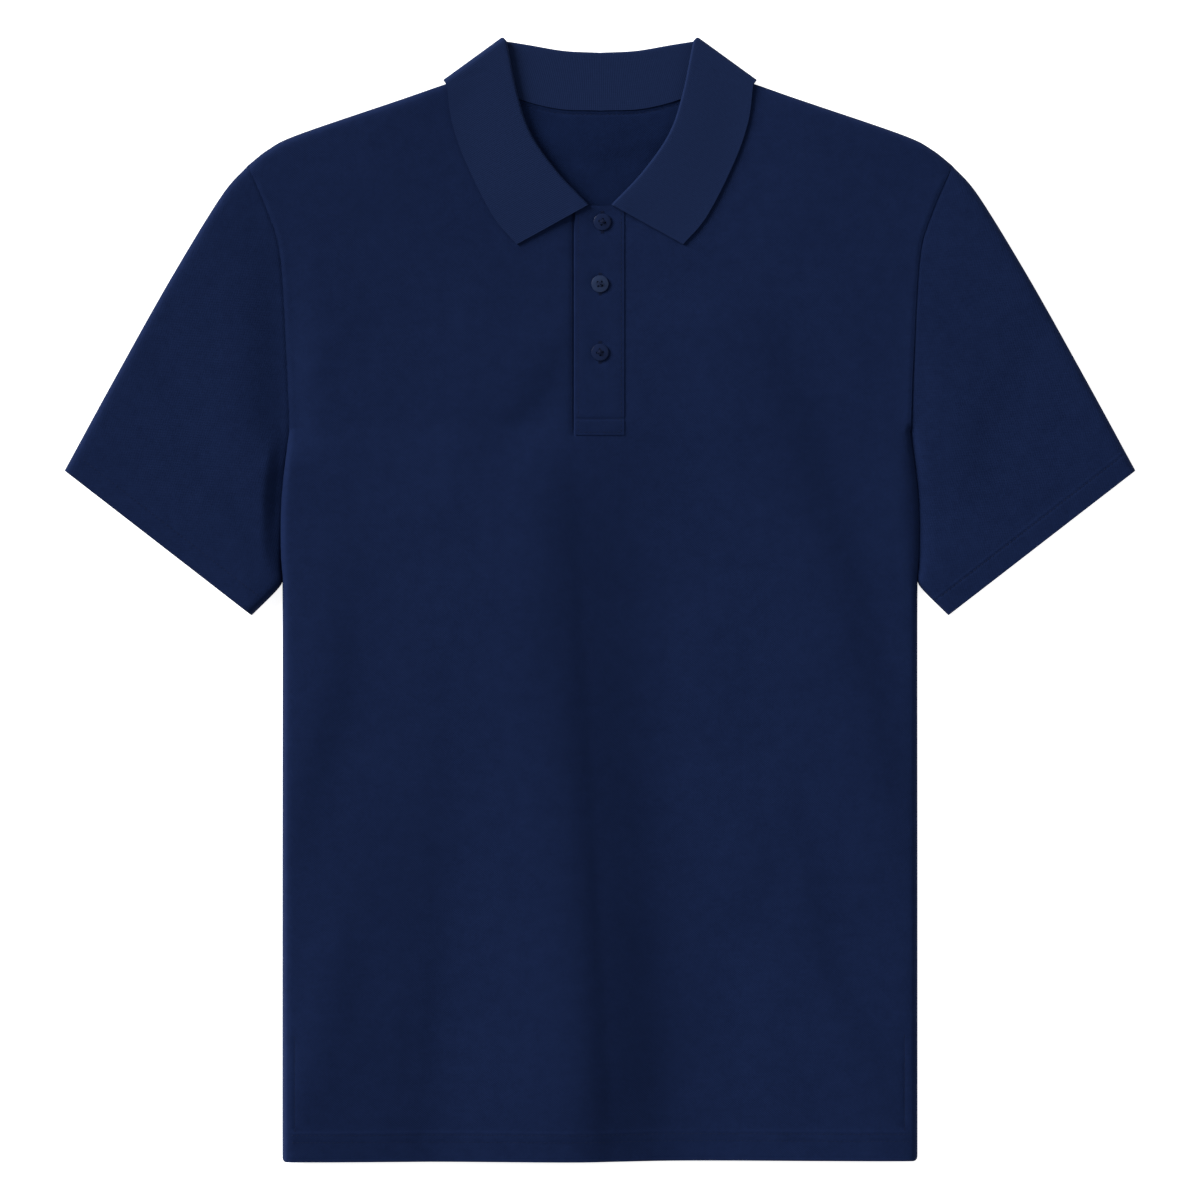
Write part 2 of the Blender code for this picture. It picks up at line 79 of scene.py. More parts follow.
COLLAR_TURN_Z = 4.3 * MM
STAND_TURN = 1.25 * MM
LEAF_TURN = 3.4 * MM
SHOULDER_FOLD_NORMAL = (0.62, 0.785)
NECK_TURN = (0.0742, 0.3508)
BACK_LIFT = COLLAR_CLOTH + 0.3 * MM

BAND_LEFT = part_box("placket_top")[0].x
BAND_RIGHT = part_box("placket_top")[1].x
BAND_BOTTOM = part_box("placket_top")[0].y
SLOT_HALF = 0.0145
SLOT_BOTTOM = 0.1140
UNDER_HALF = 0.0142
BAND_TOP_GAP = 0.4 * MM
BAND_SETTLE = 1.0 * MM
BAND_SIDE_ROW = 2.0 * MM
BAND_END_ROW = 1.8 * MM
BAND_CROSS_ROW = 10.7 * MM
BESIDE_BAND_ROW = 2.2 * MM
BUTTON_DIMPLE = 1.0 * MM
BUTTON_LIFT = 0.8 * MM
HOLE_SPACING = 1.35 * MM
HOLE_RADIUS = 0.72 * MM

HEM_DEPTH = 0.0200
HEM_ROWS = (0.0180, 0.0133)
CUFF_DEPTH = 0.0150
CUFF_ROW = 0.0132
NECK_ROW = 2.6 * MM
VENT_LENGTH = 0.085
VENT_INSET = 0.0085

SIDE = ((SIDE_X, HEM_Y), (SIDE_X, -0.20), (SIDE_X, 0.002), (0.2131, 0.024), (0.2126, 0.068), ARMPIT)
ARMHOLE = (ARMPIT, (0.2095, 0.160), (0.2135, 0.228), (0.2210, 0.256), ARMHOLE_TOP)
SHOULDER = (NECK_POINT, (0.1400, 0.3314), (0.2025, 0.3100), (0.2215, 0.3005), ARMHOLE_TOP)
SLEEVE_OUTER = (ARMHOLE_TOP, (0.2532, 0.2690), (0.2880, 0.2120), (0.3255, 0.1450), CUFF_OUTER)
UNDERARM = (
    (0.2078, 0.1120), (0.2132, 0.068), (0.2135, 0.025), (0.2128, 0.0135), (0.2165, 0.0065), CUFF_INNER,
)
NECKLINE = (
    (0.0, 0.2632), (0.0165, 0.2648), (0.0400, 0.2745), (0.0610, 0.3000), (0.0725, 0.3290), NECK_POINT,
)
BACK_NECKLINE = ((0.0, 0.3266), (0.0300, 0.3281), (0.0600, 0.3370), NECK_POINT)
ROLL_FRONT = ((0.0082, 0.2632), (0.0290, 0.2852), (0.0463, 0.3100), (0.0553, 0.3355))
ROLL_BACK = ((0.0480, 0.3702), (0.0240, 0.3662), (0.0, 0.3650))
ROLL_PEAK = (0.0645, 0.3744)
LEAF_FRONT = ((0.0556, 0.2370), (0.0715, 0.2560), (0.0895, 0.2915), (0.0990, 0.3190))
LEAF_BACK = ((0.0850, 0.3345), (0.0450, 0.3225), (0.0, 0.3180))
LEAF_SHOULDER = (0.1045, 0.3466)

# Folds of the front: points (x, y, drop) from the top down, half widths to the left and right, and
# reach, all in millimetres. Along each, the cloth falls by twice the drop from its left to its right.
FOLDS = (
    (((-19, 116, 0.0), (-18, 98, 1.7), (-16, 72, 2.9), (-13, 20, 3.6), (-10, -40, 3.9), (-6, -101, 4.3),
      (-1, -201, 4.9), (3, -281, 5.4), (6, -335, 5.4), (6, -376, 4.4)), 18, 42, 80),
    (((0, 118, 0.0), (4, 66, 1.4), (8, -1, 2.2), (14, -101, 3.0), (22, -201, 3.9),
      (28, -281, 4.5), (29, -335, 4.5), (27, -376, 3.8)), 27, 25, 90),
    (((-105, 0, 0.0), (-108, -70, 1.2), (-112, -134, 2.4), (-117, -235, 3.3), (-121, -308, 3.5),
      (-128, -376, 2.8)), 24, 20, 60),
    (((-150, 10, 0.0), (-155, -60, 1.2), (-158, -134, 2.3), (-160, -235, 2.9), (-160, -308, 3.1),
      (-160, -376, 2.6)), 34, 34, 90),
    (((-160, 60, 0.0), (-166, 20, 0.8), (-173, -54, 1.8), (-188, -121, 1.9), (-202, -185, 0.6)), 13, 13, 36),
    (((-155, -180, 0.0), (-160, -230, 0.7), (-166, -290, 0.9), (-171, -345, 0.6),
      (-172, -376, 0.4)), 15, 15, 34),
    (((103, 205, 0.0), (114, 180, 1.1), (137, 106, 2.1), (161, 33, 2.3), (182, -54, 2.2),
      (201, -134, 1.6), (210, -190, 0.5)), 14, 14, 45),
    (((124, -105, 0.0), (130, -140, 0.8), (142, -188, 1.3), (153, -241, 1.4), (175, -288, 1.3),
      (198, -335, 0.6)), 11, 11, 30),
    (((107, -145, 0.0), (111, -178, 0.8), (110, -210, 0.0)), 8, 8, 20),
    (((-21, 196, 0.0), (-28, 172, 0.9), (-40, 145, 1.1), (-56, 122, 1.1), (-78, 86, 0.0)), 11, 11, 26),
    (((160, 220, 0.0), (175, 166, 0.5), (190, 120, 0.0)), 10, 10, 26),
    (((262, 150, 0.0), (254, 115, 0.8), (246, 75, 0.9), (237, 35, 0.4)), 10, 10, 26),
    (((-288, 112, 0.0), (-264, 80, 0.7), (-243, 50, 0.8), (-230, 24, 0.3)), 9, 9, 24),
    (((-165, 190, 0.0), (-180, 160, 0.5), (-195, 120, 0.0)), 9, 9, 24),
)
# How much more a fold lifts the cloth than it lowers it, as a share of its drop
FOLD_LIFT = 0.24
# Soft ridges and troughs of the front: route, half width, height (below zero for a trough)
CREASES = (
    (((-0.180, -0.240), (-0.196, -0.330)), 0.016, 1.2 * MM),
    (((-0.045, 0.060), (-0.052, -0.050)), 0.018, 0.8 * MM),
    (((0.070, -0.020), (0.085, -0.200)), 0.022, 0.7 * MM),
    (((0.110, -0.270), (0.118, -0.350)), 0.016, 0.8 * MM),
    (((-0.080, 0.200), (-0.105, 0.060)), 0.016, 0.5 * MM),
    (((0.070, 0.200), (0.090, 0.080)), 0.016, 0.5 * MM),
    (((-0.300, 0.180), (-0.262, 0.110)), 0.016, -0.5 * MM),
    (((0.300, 0.190), (0.275, 0.130)), 0.014, -0.5 * MM),
)
# Shallow creases in the back, where it lifts a little off the surface
BACK_CREASES = (
    (((-0.042, 0.306), (0.000, 0.2985), (0.040, 0.307)), 0.0038, 0.50 * MM),
    (((-0.014, 0.287), (0.012, 0.2895), (0.032, 0.297)), 0.0042, 0.45 * MM),
    (((-0.100, 0.200), (-0.130, -0.050)), 0.016, 0.55 * MM),
    (((0.060, 0.100), (0.090, -0.250)), 0.018, 0.60 * MM),
    (((-0.040, -0.120), (-0.060, -0.340)), 0.016, 0.50 * MM),
    (((0.150, 0.220), (0.180, 0.100)), 0.014, 0.50 * MM),
    (((0.275, 0.150), (0.262, 0.060)), 0.013, 0.50 * MM),
    (((-0.285, 0.150), (-0.262, 0.060)), 0.013, 0.50 * MM),
)

CLOTH_STEP = 3.7 * MM
# Rows of points above the hem, in millimetres: closer where its needle rows sink
HEM_UPS = (2, 6, 9, 11.8, 12.5, 13.1, 13.7, 14.4, 15.6, 16.8, 17.4, 18, 18.6, 19.2, 19.8, 20.5, 22)
FOLD_TURNS = (4, 12, 22, 33, 45, 57, 70, 84)
SLEEVE_COLUMNS = 56
COLLAR_FRONT_ROWS = 90
COLLAR_BACK_ROWS = 50

# ---------------------------------------------------------------- curves and cloth meshes


def unit(vectors):
    return vectors / np.linalg.norm(vectors, axis=-1, keepdims=True)


def lengths_along(line):
    """How far each point of a polyline is from its start."""
    return np.concatenate([[0], np.cumsum(np.linalg.norm(np.diff(line, axis=0), axis=1))])


def curve(points, shares):
    """The smooth curve through the points, at these shares of its length."""
    points = np.array(points, float)
    ends = np.vstack([2 * points[0] - points[1], points, 2 * points[-1] - points[-2]])
    fine = []
    for i in range(1, len(ends) - 2):
        before, start, end, after = ends[i - 1 : i + 3]
        for t in np.linspace(0, 1, 24, endpoint=False):
            fine.append(
                0.5 * (2 * start + (end - before) * t
                       + (2 * before - 5 * start + 4 * end - after) * t**2
                       + (3 * start - before - 3 * end + after) * t**3)
            )
    fine = np.array(fine + [points[-1]])
    along = lengths_along(fine)
    wanted = np.asarray(shares) * along[-1]
    return np.stack([np.interp(wanted, along, fine[:, i]) for i in range(fine.shape[1])], axis=1)


def even(points, count):
    return curve(points, np.linspace(0, 1, count))


def length_of(points):
    return float(lengths_along(even(points, 60))[-1])


def stepped(points, step):
    """The curve through the points, with a point about every step."""
    return even(points, max(3, int(round(length_of(points) / step)) + 1))


def shifted(points, distance):
    """The plan curve moved sideways: to its right for a positive distance."""
    along = unit(np.gradient(points, axis=0))
    return points + distance * np.stack([along[:, 1], -along[:, 0]], axis=1)


def distance_to(line, x, y):
    """Distance of each point (x, y) from a plan polyline."""
    nearest = np.full(np.shape(x), np.inf)
    for (ax, ay), (bx, by) in zip(line[:-1], line[1:]):
        dx, dy = bx - ax, by - ay
        length_squared = max(dx * dx + dy * dy, 1e-12)
        share = np.clip(((x - ax) * dx + (y - ay) * dy) / length_squared, 0, 1)
        nearest = np.minimum(nearest, np.hypot(x - ax - share * dx, y - ay - share * dy))
    return nearest


def smooth_step(value):
    value = np.clip(value, 0, 1)
    return value * value * (3 - 2 * value)


def bump_at(distance, width):
    return np.exp(-((distance / width) ** 2))


SIDE_LINE = even(SIDE, 60)
ARMHOLE_LINE = even(ARMHOLE, 60)
TOP_LINE = np.vstack([even(SHOULDER, 70), even(SLEEVE_OUTER, 110)])
UNDERARM_LINE = even(UNDERARM, 80)
LEAF_BACK_LINE = even((LEAF_SHOULDER, *LEAF_BACK), 24)
NECK_BACK_LINE = even(BACK_NECKLINE, 60)


def back_height(x, y):
    """The back lies flat and rises over the collar's leaf at the neck."""
    leaf_y = np.interp(np.abs(x), LEAF_BACK_LINE[::-1, 0], LEAF_BACK_LINE[::-1, 1])
    under = (y > leaf_y) & (np.abs(x) < LEAF_SHOULDER[0])
    away = np.where(under, 0, distance_to(LEAF_BACK_LINE, np.abs(x), y))
    return BACK_Z + BACK_LIFT * (1 - smooth_step((away - 4 * MM) / (26 * MM)))


def back_creases(x, y):
    edges = [distance_to(line, np.abs(x), y) for line in (TOP_LINE, SIDE_LINE, UNDERARM_LINE)]
    lift = sum(height * bump_at(distance_to(route, x, y), width) for route, width, height in BACK_CREASES)
    return lift * smooth_step((np.minimum.reduce(edges) - 4 * MM) / (20 * MM))


def sleeve_side(x, y):
    """Signed distance from the armhole seam: above zero on the sleeve."""
    x = np.abs(x)
    seam_x = np.interp(y, ARMHOLE_LINE[:, 1], ARMHOLE_LINE[:, 0])
    side_x = np.interp(y, SIDE_LINE[:, 1], SIDE_LINE[:, 0])
    edge = np.where(y > ARMPIT[1], seam_x, side_x)
    return np.where(x > edge, 1, -1) * distance_to(ARMHOLE_LINE, x, y)


def ripple(x, y):
    """The slight unevenness of cloth that has been smoothed by hand."""
    return (
        0.10 * MM * np.sin(x / 0.019 + 1.7 * np.sin(y / 0.061))
        + 0.08 * MM * np.sin(y / 0.023 + 1.3 * np.sin(x / 0.047) + 2.0)
        + 0.06 * MM * np.sin((x + y) / 0.013 + 0.8)
    )


def fold_drop(x, y, route, left, right, reach):
    """A soft step down to the right along a route, with easy slopes back on both sides."""
    line = even(np.array(route) * MM, 60)[::-1]
    centre = np.interp(y, line[:, 1], line[:, 0])
    drop = np.interp(y, line[:, 1], line[:, 2])
    across = (x - centre) / MM
    step = np.tanh(across / np.where(across < 0, left, right))
    eased = across / (reach * np.where(across < 0, 1.35, 1))
    return drop * (FOLD_LIFT - step) * np.exp(-0.5 * eased**2)


def hem_step(distance, depth, rows, sunk):
    """A turned hem: thicker up to its depth, with sunk rows where the needles pass."""
    step = 0.34 * MM * (1 - smooth_step((distance - depth + 0.4 * MM) / (1.4 * MM)))
    for row in rows:
        step = step - sunk * bump_at(distance - row, 0.9 * MM)
    return step


def seam_sink(x, y, seam):
    """How far the cloth sinks beside the armholes: most on the wearer's right sleeve."""
    at_left = 0.9 * MM + 3.6 * MM * bump_at(y - 0.140, 0.085)
    at_right = 0.5 * MM + 0.5 * MM * bump_at(y - 0.120, 0.050)
    sleeve = np.where(x < 0, at_left, at_right)
    body = np.maximum(sleeve - 1.2 * MM, 0.1 * MM)
    on_sleeve = sleeve * bump_at(seam, np.where(x < 0, 20, 12) * MM)
    return np.where(seam > 0, on_sleeve, body * bump_at(seam, 13 * MM))


def loft(x, y):
    """Height of the front layer away from its folded edges."""
    seam = sleeve_side(x, y)
    height = BODY_LOFT + (SLEEVE_LOFT - BODY_LOFT) * smooth_step((seam + 4 * MM) / (90 * MM))
    height -= seam_sink(x, y, seam)
    height += 0.16 * MM * bump_at(seam + 3.0 * MM, 2.0 * MM) - 0.30 * MM * bump_at(seam, 1.4 * MM)
    for fold in FOLDS:
        height += fold_drop(x, y, *fold)
    for route, half_width, depth in CREASES:
        height += depth * bump_at(distance_to(route, x, y), half_width)
    by_neck = 1 - smooth_step((np.hypot(x, y - NECK_MIDDLE_Y) - 0.085) / 0.07)
    height += (NECK_LOFT - height) * by_neck
    height += (NECK_FRONT_LOFT - height) * bump_at(np.hypot(x, y - NECK_FRONT_Y), 0.026)
    height += ripple(x, y)
    hem = y - HEM_Y
    height += (HEM_LOFT - height) * 0.12 * bump_at(hem, 0.016)
    height += hem_step(hem, HEM_DEPTH, HEM_ROWS, 0.10 * MM)
    vent = np.abs(np.abs(x) - (SIDE_X - VENT_INSET))
    vented = smooth_step((HEM_Y + VENT_LENGTH - y) / (4 * MM)) * (hem > HEM_DEPTH)
    height -= 0.30 * MM * bump_at(vent, 0.9 * MM) * vented
    cuff = distance_to((CUFF_INNER, CUFF_OUTER), np.abs(x), y)
    height += (HEM_LOFT - height) * 0.15 * bump_at(cuff, 0.014)
    return height + 0.5 * hem_step(cuff, CUFF_DEPTH, (CUFF_ROW,), 0.44 * MM)


def above_low(height, low):
    """The height, eased to stay just clear of the layer below."""
    room = 0.8 * MM
    gap = (height - low) / room
    return low + room * np.where(gap > 3, gap, np.log1p(np.exp(np.minimum(gap, 30))))


def front_height(x, y, radius=FOLD_RADIUS):
    """The front layer: lofted, and rolled down to the back at the folded edges."""
    low = back_height(x, y) + LAYER
    side = distance_to(SIDE_LINE, np.abs(x), y)
    side = side * FOLD_RADIUS / (FOLD_RADIUS + RIGHT_SIDE_ROLL * (x > 0) * bump_at(y - 0.060, 0.040))
    edge = np.minimum(distance_to(TOP_LINE, np.abs(x), y), side)
    edge = np.minimum(edge, distance_to(UNDERARM_LINE, np.abs(x), y) * FOLD_RADIUS / radius)
    inside = 1 - np.clip(edge / FOLD_RADIUS, 0, 1)
    return low + (above_low(loft(x, y), low) - low) * np.sqrt(1 - inside**2)


def placket_dip(x, y):
    """Two fine grooves beside the band's left side, where it folds and where it is sewn."""
    away = BAND_LEFT - x
    left = bump_at(away - 0.9 * MM, 0.7 * MM) + 0.5 * bump_at(away - BESIDE_BAND_ROW, 0.7 * MM)
    return -0.8 * MM * left * (y > BAND_BOTTOM - 1 * MM)


def front_surface(x, y):
    return front_height(x, y) + placket_dip(x, y) * (np.abs(x) < 0.025) * (y > 0.100)


def back_surface(x, y):
    """The back with its shallow creases, and the sunk row below the neck seam."""
    neck_y = np.interp(np.abs(x), NECK_BACK_LINE[:, 0], NECK_BACK_LINE[:, 1])
    row = bump_at(neck_y - y - NECK_ROW, 0.8 * MM) * (np.abs(x) < NECK_POINT[0])
    fall = 0.7 * MM * np.tanh((x - 0.012 - (y - 0.30) * 0.6) / (14 * MM)) * bump_at(y - 0.296, 0.026)
    inner = np.abs(x) < 0.060
    height = back_height(x, y) + back_creases(x, y) - 0.35 * MM * row - fall * inner * bump_at(x, 0.045)
    return np.maximum(height, BACK_Z)


def sleeve_height(x, y):
    """As the front, with a rounder roll under the arm, pressed down where it meets the body."""
    under = distance_to(UNDERARM_LINE, np.abs(x), y)
    below = smooth_step((ARMPIT[1] + 0.01 - y) / 0.03) * smooth_step((y - 0.004) / 0.035)
    height = front_height(x, y, FOLD_RADIUS + (UNDERARM_ROLL - FOLD_RADIUS) * bump_at(under, 0.030) * below)
    low = back_height(x, y) + LAYER
    left = x < 0
    pressed = np.where(left, 0.80, 0.50) * bump_at(y - np.where(left, 0.070, 0.060), 0.042)
    ramp = np.where(left, 10, 45) * MM
    return low + (height - low) * (1 - pressed * (1 - smooth_step((under - 3 * MM) / ramp)))


def inside_points(outline, step, clear):
    """Points in staggered rows inside an outline, clear of its edge."""
    low, high = outline.min(axis=0), outline.max(axis=0)
    columns = np.arange(low[0], high[0], step)
    rows = np.arange(low[1], high[1], step * math.sqrt(3) / 2)
    x, y = np.meshgrid(columns, rows)
    x[1::2] += step / 2
    x, y = x.ravel(), y.ravel()
    ring = np.vstack([outline, outline[:1]])
    crossings = np.zeros(x.shape, bool)
    for (ax, ay), (bx, by) in zip(ring[:-1], ring[1:]):
        if ay != by:
            crossings ^= ((ay > y) != (by > y)) & (x < (bx - ax) * (y - ay) / (by - ay) + ax)
    x, y = x[crossings], y[crossings]
    keep = distance_to(ring, x, y) > clear
    return np.stack([x[keep], y[keep]], axis=1)


def deselect():
    bpy.ops.object.select_all(action="DESELECT")


def chosen(piece):
    """Makes the piece the only one selected, and active."""
    deselect()
    piece.select_set(True)
    bpy.context.view_layer.objects.active = piece
    return piece


def linked(name, data):
    """A new object with this data, in the scene."""
    made = bpy.data.objects.new(name, data)
    bpy.context.scene.collection.objects.link(made)
    return made


def apply_modifier(piece, kind, **settings):
    """Gives the piece a modifier with these settings and applies it."""
    chosen(piece)
    made = piece.modifiers.new(kind, kind)
    for key, value in settings.items():
        setattr(made, key, value)
    bpy.ops.object.modifier_apply(modifier=made.name)


def mesh_piece(name, points, faces, cut=None):
    """A new piece from points and faces. cut gives each point's place in the flat cut, for the weave."""
    mesh = bpy.data.meshes.new(name)
    mesh.from_pydata(np.asarray(points, float).tolist(), [], [tuple(map(int, f)) for f in faces])
    if cut is not None:
        layer = mesh.uv_layers.new(name="cut")
        index = np.zeros(len(mesh.loops), np.int32)
        mesh.loops.foreach_get("vertex_index", index)
        layer.data.foreach_set("uv", np.asarray(cut, np.float32)[index].ravel())
    shape = bmesh.new()
    shape.from_mesh(mesh)
    bmesh.ops.recalc_face_normals(shape, faces=shape.faces)
    shape.to_mesh(mesh)
    shape.free()
    return linked(name, mesh)


def face_up(piece):
    """Turns an open sheet's faces over where the sheet came out facing down."""
    total = sum(f.normal.z * f.area for f in piece.data.polygons)
    if total < 0:
        piece.data.flip_normals()
    return piece


def add_wall(piece, thickness):
    """Gives a sheet its thickness and shades it smooth."""
    settings = {"use_even_offset": False, "use_quality_normals": True}
    apply_modifier(piece, "SOLIDIFY", thickness=thickness, offset=0, **settings)
    bpy.ops.object.shade_smooth_by_angle(angle=math.radians(50))
    deselect()
    return piece


def grid_faces(rows, columns, closed=False):
    """Quads over a grid of points. A closed grid joins its last column to its first."""
    i, j = np.meshgrid(np.arange(rows - 1), np.arange(columns if closed else columns - 1), indexing="ij")
    k = (j + 1) % columns
    corners = (i * columns + j, (i + 1) * columns + j, (i + 1) * columns + k, i * columns + k)
    return np.stack([c.ravel() for c in corners], axis=1)


def panel(name, outline, inner, height):
    """A cut panel: its outline and inner points joined by triangles, at the heights given."""
    points = np.vstack([outline, inner])
    count = len(outline)
    edges = [(i, (i + 1) % count) for i in range(count)]
    made = geometry.delaunay_2d_cdt([Vector(p) for p in points], edges, [], 1, 1e-7)
    plan = np.array([tuple(v) for v in made[0]])
    heights = height(plan[:, 0], plan[:, 1])
    return face_up(mesh_piece(name, np.column_stack([plan, heights]), made[2], cut=plan))


def mirrored(points):
    return np.asarray(points)[::-1] * (-1, 1)


def hem_half(step):
    """From the middle of the hem to the bottom of the side, round the corner."""
    centre = (SIDE_X - HEM_CORNER, HEM_Y + HEM_CORNER)
    turns = np.linspace(-math.pi / 2, 0, 7)
    corner = [(centre[0] + HEM_CORNER * math.cos(a), centre[1] + HEM_CORNER * math.sin(a)) for a in turns]
    straight = [(x, HEM_Y) for x in np.linspace(0, centre[0], int(centre[0] / step))[:-1]]
    return np.array(straight + corner)


def grid_points(columns, rows):
    x, y = np.meshgrid(columns, rows)
    return np.stack([x.ravel(), y.ravel()], axis=1)


def fold_rows(line):
    """Rows of points beside a folded edge, by even turns of its rounding."""
    depths = [FOLD_RADIUS * (1 - math.cos(math.radians(a))) for a in FOLD_TURNS]
    return np.vstack([shifted(line, -d) for d in depths])


# ---------------------------------------------------------------- cloth pieces


def make_front():
    step = CLOTH_STEP
    side = stepped(SIDE, step)[1:-1]
    shoulder = stepped(SHOULDER[::-1], step)[1:-1]
    neck = shifted(stepped(NECKLINE[::-1], step), -SEAM)
    neck = neck[neck[:, 0] > SLOT_HALF + 1 * MM]
    top = np.interp(SLOT_HALF, *even(NECKLINE, 100)[:50].T)
    slot = np.array([(SLOT_HALF, y) for y in np.arange(top - SEAM, SLOT_BOTTOM, -step)])
    foot = np.array([(x, SLOT_BOTTOM) for x in np.linspace(SLOT_HALF, 0, 5)])
    armhole = shifted(stepped(ARMHOLE, step), -SEAM)
    half = np.vstack([hem_half(step), side, armhole, shoulder, neck, slot, foot])
    outline = np.vstack([half, mirrored(half)[1:-1]])
    rolled = np.vstack([fold_rows(side), fold_rows(shoulder)])
    near_seam = stepped(ARMHOLE, 3 * MM)
    seam = np.vstack([shifted(near_seam, -d * MM) for d in (0.7, 1.4, 2.1, 2.9, 3.8, 4.8, 6.0)])
    seam = seam[seam[:, 1] < 0.281]
    hem = grid_points(np.arange(0, SIDE_X - FOLD_RADIUS - 1 * MM, step), HEM_Y + np.array(HEM_UPS) * MM)
    vent_x = SIDE_X - VENT_INSET + np.array((-1.6, -0.8, 0, 0.8)) * MM
    vent = grid_points(vent_x, np.arange(HEM_Y + 0.0235, HEM_Y + VENT_LENGTH + 2 * MM, step))
    beside = np.array((15.4, 16.1, 16.6, 17.1, 17.6, 18.2, 18.8, 19.6)) * MM
    sides = grid_points(np.concatenate([beside, -beside]), np.arange(0.1045, 0.2640, 3 * MM))
    foot = grid_points(np.linspace(-13.5, 13.5, 13) * MM, SLOT_BOTTOM - np.arange(0.8, 9, 0.75) * MM)
    both = np.vstack([rolled, seam, hem, vent])
    spread = inside_points(outline, step, 1.4 * MM)
    reach = np.abs(spread[:, 0])
    beside_fold = [distance_to(line, reach, spread[:, 1]) for line in (SIDE_LINE, TOP_LINE)]
    clear = np.minimum(*beside_fold) > FOLD_RADIUS + 0.5 * MM
    clear &= distance_to(ARMHOLE_LINE, reach, spread[:, 1]) > 7 * MM
    clear &= spread[:, 1] > HEM_Y + 23 * MM
    clear &= (spread[:, 1] > HEM_Y + VENT_LENGTH + 3 * MM) | (reach < vent_x[0] - 2 * MM)
    clear &= (reach > 21 * MM) | (spread[:, 1] < 0.1030)
    inner = np.vstack([both, both[both[:, 0] > 0] * (-1, 1), sides, foot, spread[clear]])
    inner = inner[distance_to(np.vstack([outline, outline[:1]]), inner[:, 0], inner[:, 1]) > 0.012 * MM]
    return panel("front", outline, inner, front_surface)


def make_back():
    step = CLOTH_STEP * 1.25
    side = stepped(SIDE, step)[1:-1]
    shoulder = stepped(SHOULDER[::-1], step)[1:-1]
    neck = stepped(BACK_NECKLINE[::-1], step) - (0, SEAM)
    half = np.vstack([hem_half(step), side, shifted(stepped(ARMHOLE, step), -SEAM), shoulder, neck])
    outline = np.vstack([half, mirrored(half)[1:-1]])
    below = np.vstack([neck - (0, d * MM) for d in (0.8, 1.5, 2.0, 2.5, 3.0, 3.6, 4.6)])
    below = below[below[:, 0] < 0.066]
    spread = inside_points(outline, step, 2 * MM)
    neck_y = np.interp(np.abs(spread[:, 0]), NECK_BACK_LINE[:, 0], NECK_BACK_LINE[:, 1])
    spread = spread[(neck_y - spread[:, 1] > 6 * MM) | (np.abs(spread[:, 0]) > 0.068)]
    inner = np.vstack([below, below[below[:, 0] > 0] * (-1, 1), spread])
    return panel("back", outline, inner, back_surface)


def fold_shares(count, length):
    """Places across a sleeve: even in the middle, and close together in its two rounded folds."""
    fold = [FOLD_RADIUS * (1 - math.cos(math.radians(a))) / length for a in (0, *FOLD_TURNS)]
    middle = np.linspace(fold[-1], 1 - fold[-1], count)[1:-1]
    return np.concatenate([fold, middle, 1 - np.array(fold[::-1])])


def sleeve_plan(shares):
    """Plan points of a sleeve, in rows from the armhole to the cuff."""
    stretches = np.linspace(0, 0.04, 9), np.linspace(0.04, 0.855, 58)[1:], np.linspace(0.855, 1, 44)[1:]
    rows = np.concatenate(stretches)
    armhole = shifted(curve(ARMHOLE, shares), SEAM)
    cuff = np.array([np.add(CUFF_INNER, v * np.subtract(CUFF_OUTER, CUFF_INNER)) for v in shares])
    inner, outer = curve(UNDERARM, rows), curve(SLEEVE_OUTER, rows)
    armhole = armhole + (inner[0] - armhole[0]) * ((1 - shares) ** 10)[:, None]
    v, s = shares[None, :, None], rows[:, None, None]
    across = (1 - s) * armhole[None] + s * cuff[None]
    down = (1 - v) * inner[:, None] + v * outer[:, None]
    start = (1 - v) * armhole[0] + v * armhole[-1]
    end = (1 - v) * cuff[0] + v * cuff[-1]
    return across + down - (1 - s) * start - s * end


def cuff_ways():
    """Along the cuff, and up the sleeve square to it."""
    along = unit(np.subtract(CUFF_OUTER, CUFF_INNER))
    return along, np.array([-along[1], along[0]])


def sleeve_cut(plan, hand):
    """Places in the sleeve's cut: its grain runs along the sleeve, square to the cuff."""
    along, up = cuff_ways()
    local = plan - CUFF_INNER
    return np.dstack([hand * (local @ along), local @ up])


def make_sleeve(name, hand):
    """A tube of one piece, folded flat: its front layer, its outer fold and its back layer."""
    shares = fold_shares(SLEEVE_COLUMNS, length_of(ARMHOLE))
    plan = sleeve_plan(shares)
    x, y = hand * plan[..., 0], plan[..., 1]
    top = np.dstack([x, y, sleeve_height(x, y)])
    under = np.dstack([x, y, back_surface(x, y)])[:, ::-1]
    ring = np.concatenate([top, under], axis=1)
    cut = sleeve_cut(plan, hand)
    cut = np.concatenate([cut, cut[:, ::-1]], axis=1)
    rows, columns = ring.shape[:2]
    faces = grid_faces(rows, columns, closed=True)
    return mesh_piece(name, ring.reshape(-1, 3), faces, cut=cut.reshape(-1, 2))


TURN_ANGLES = np.linspace(90, -90, 19)


def turns_over(apex, radius):
    """Points (x, y, z) of a layer that turns over at the shoulder, from its top to its underside."""
    angles = np.radians(TURN_ANGLES)
    plan = apex - radius * (1 - np.cos(angles))[:, None] * SHOULDER_FOLD_NORMAL
    return np.column_stack([plan, COLLAR_TURN_Z + radius * np.sin(angles)])


def level(points, z):
    return np.column_stack([points, np.full(len(points), z)])


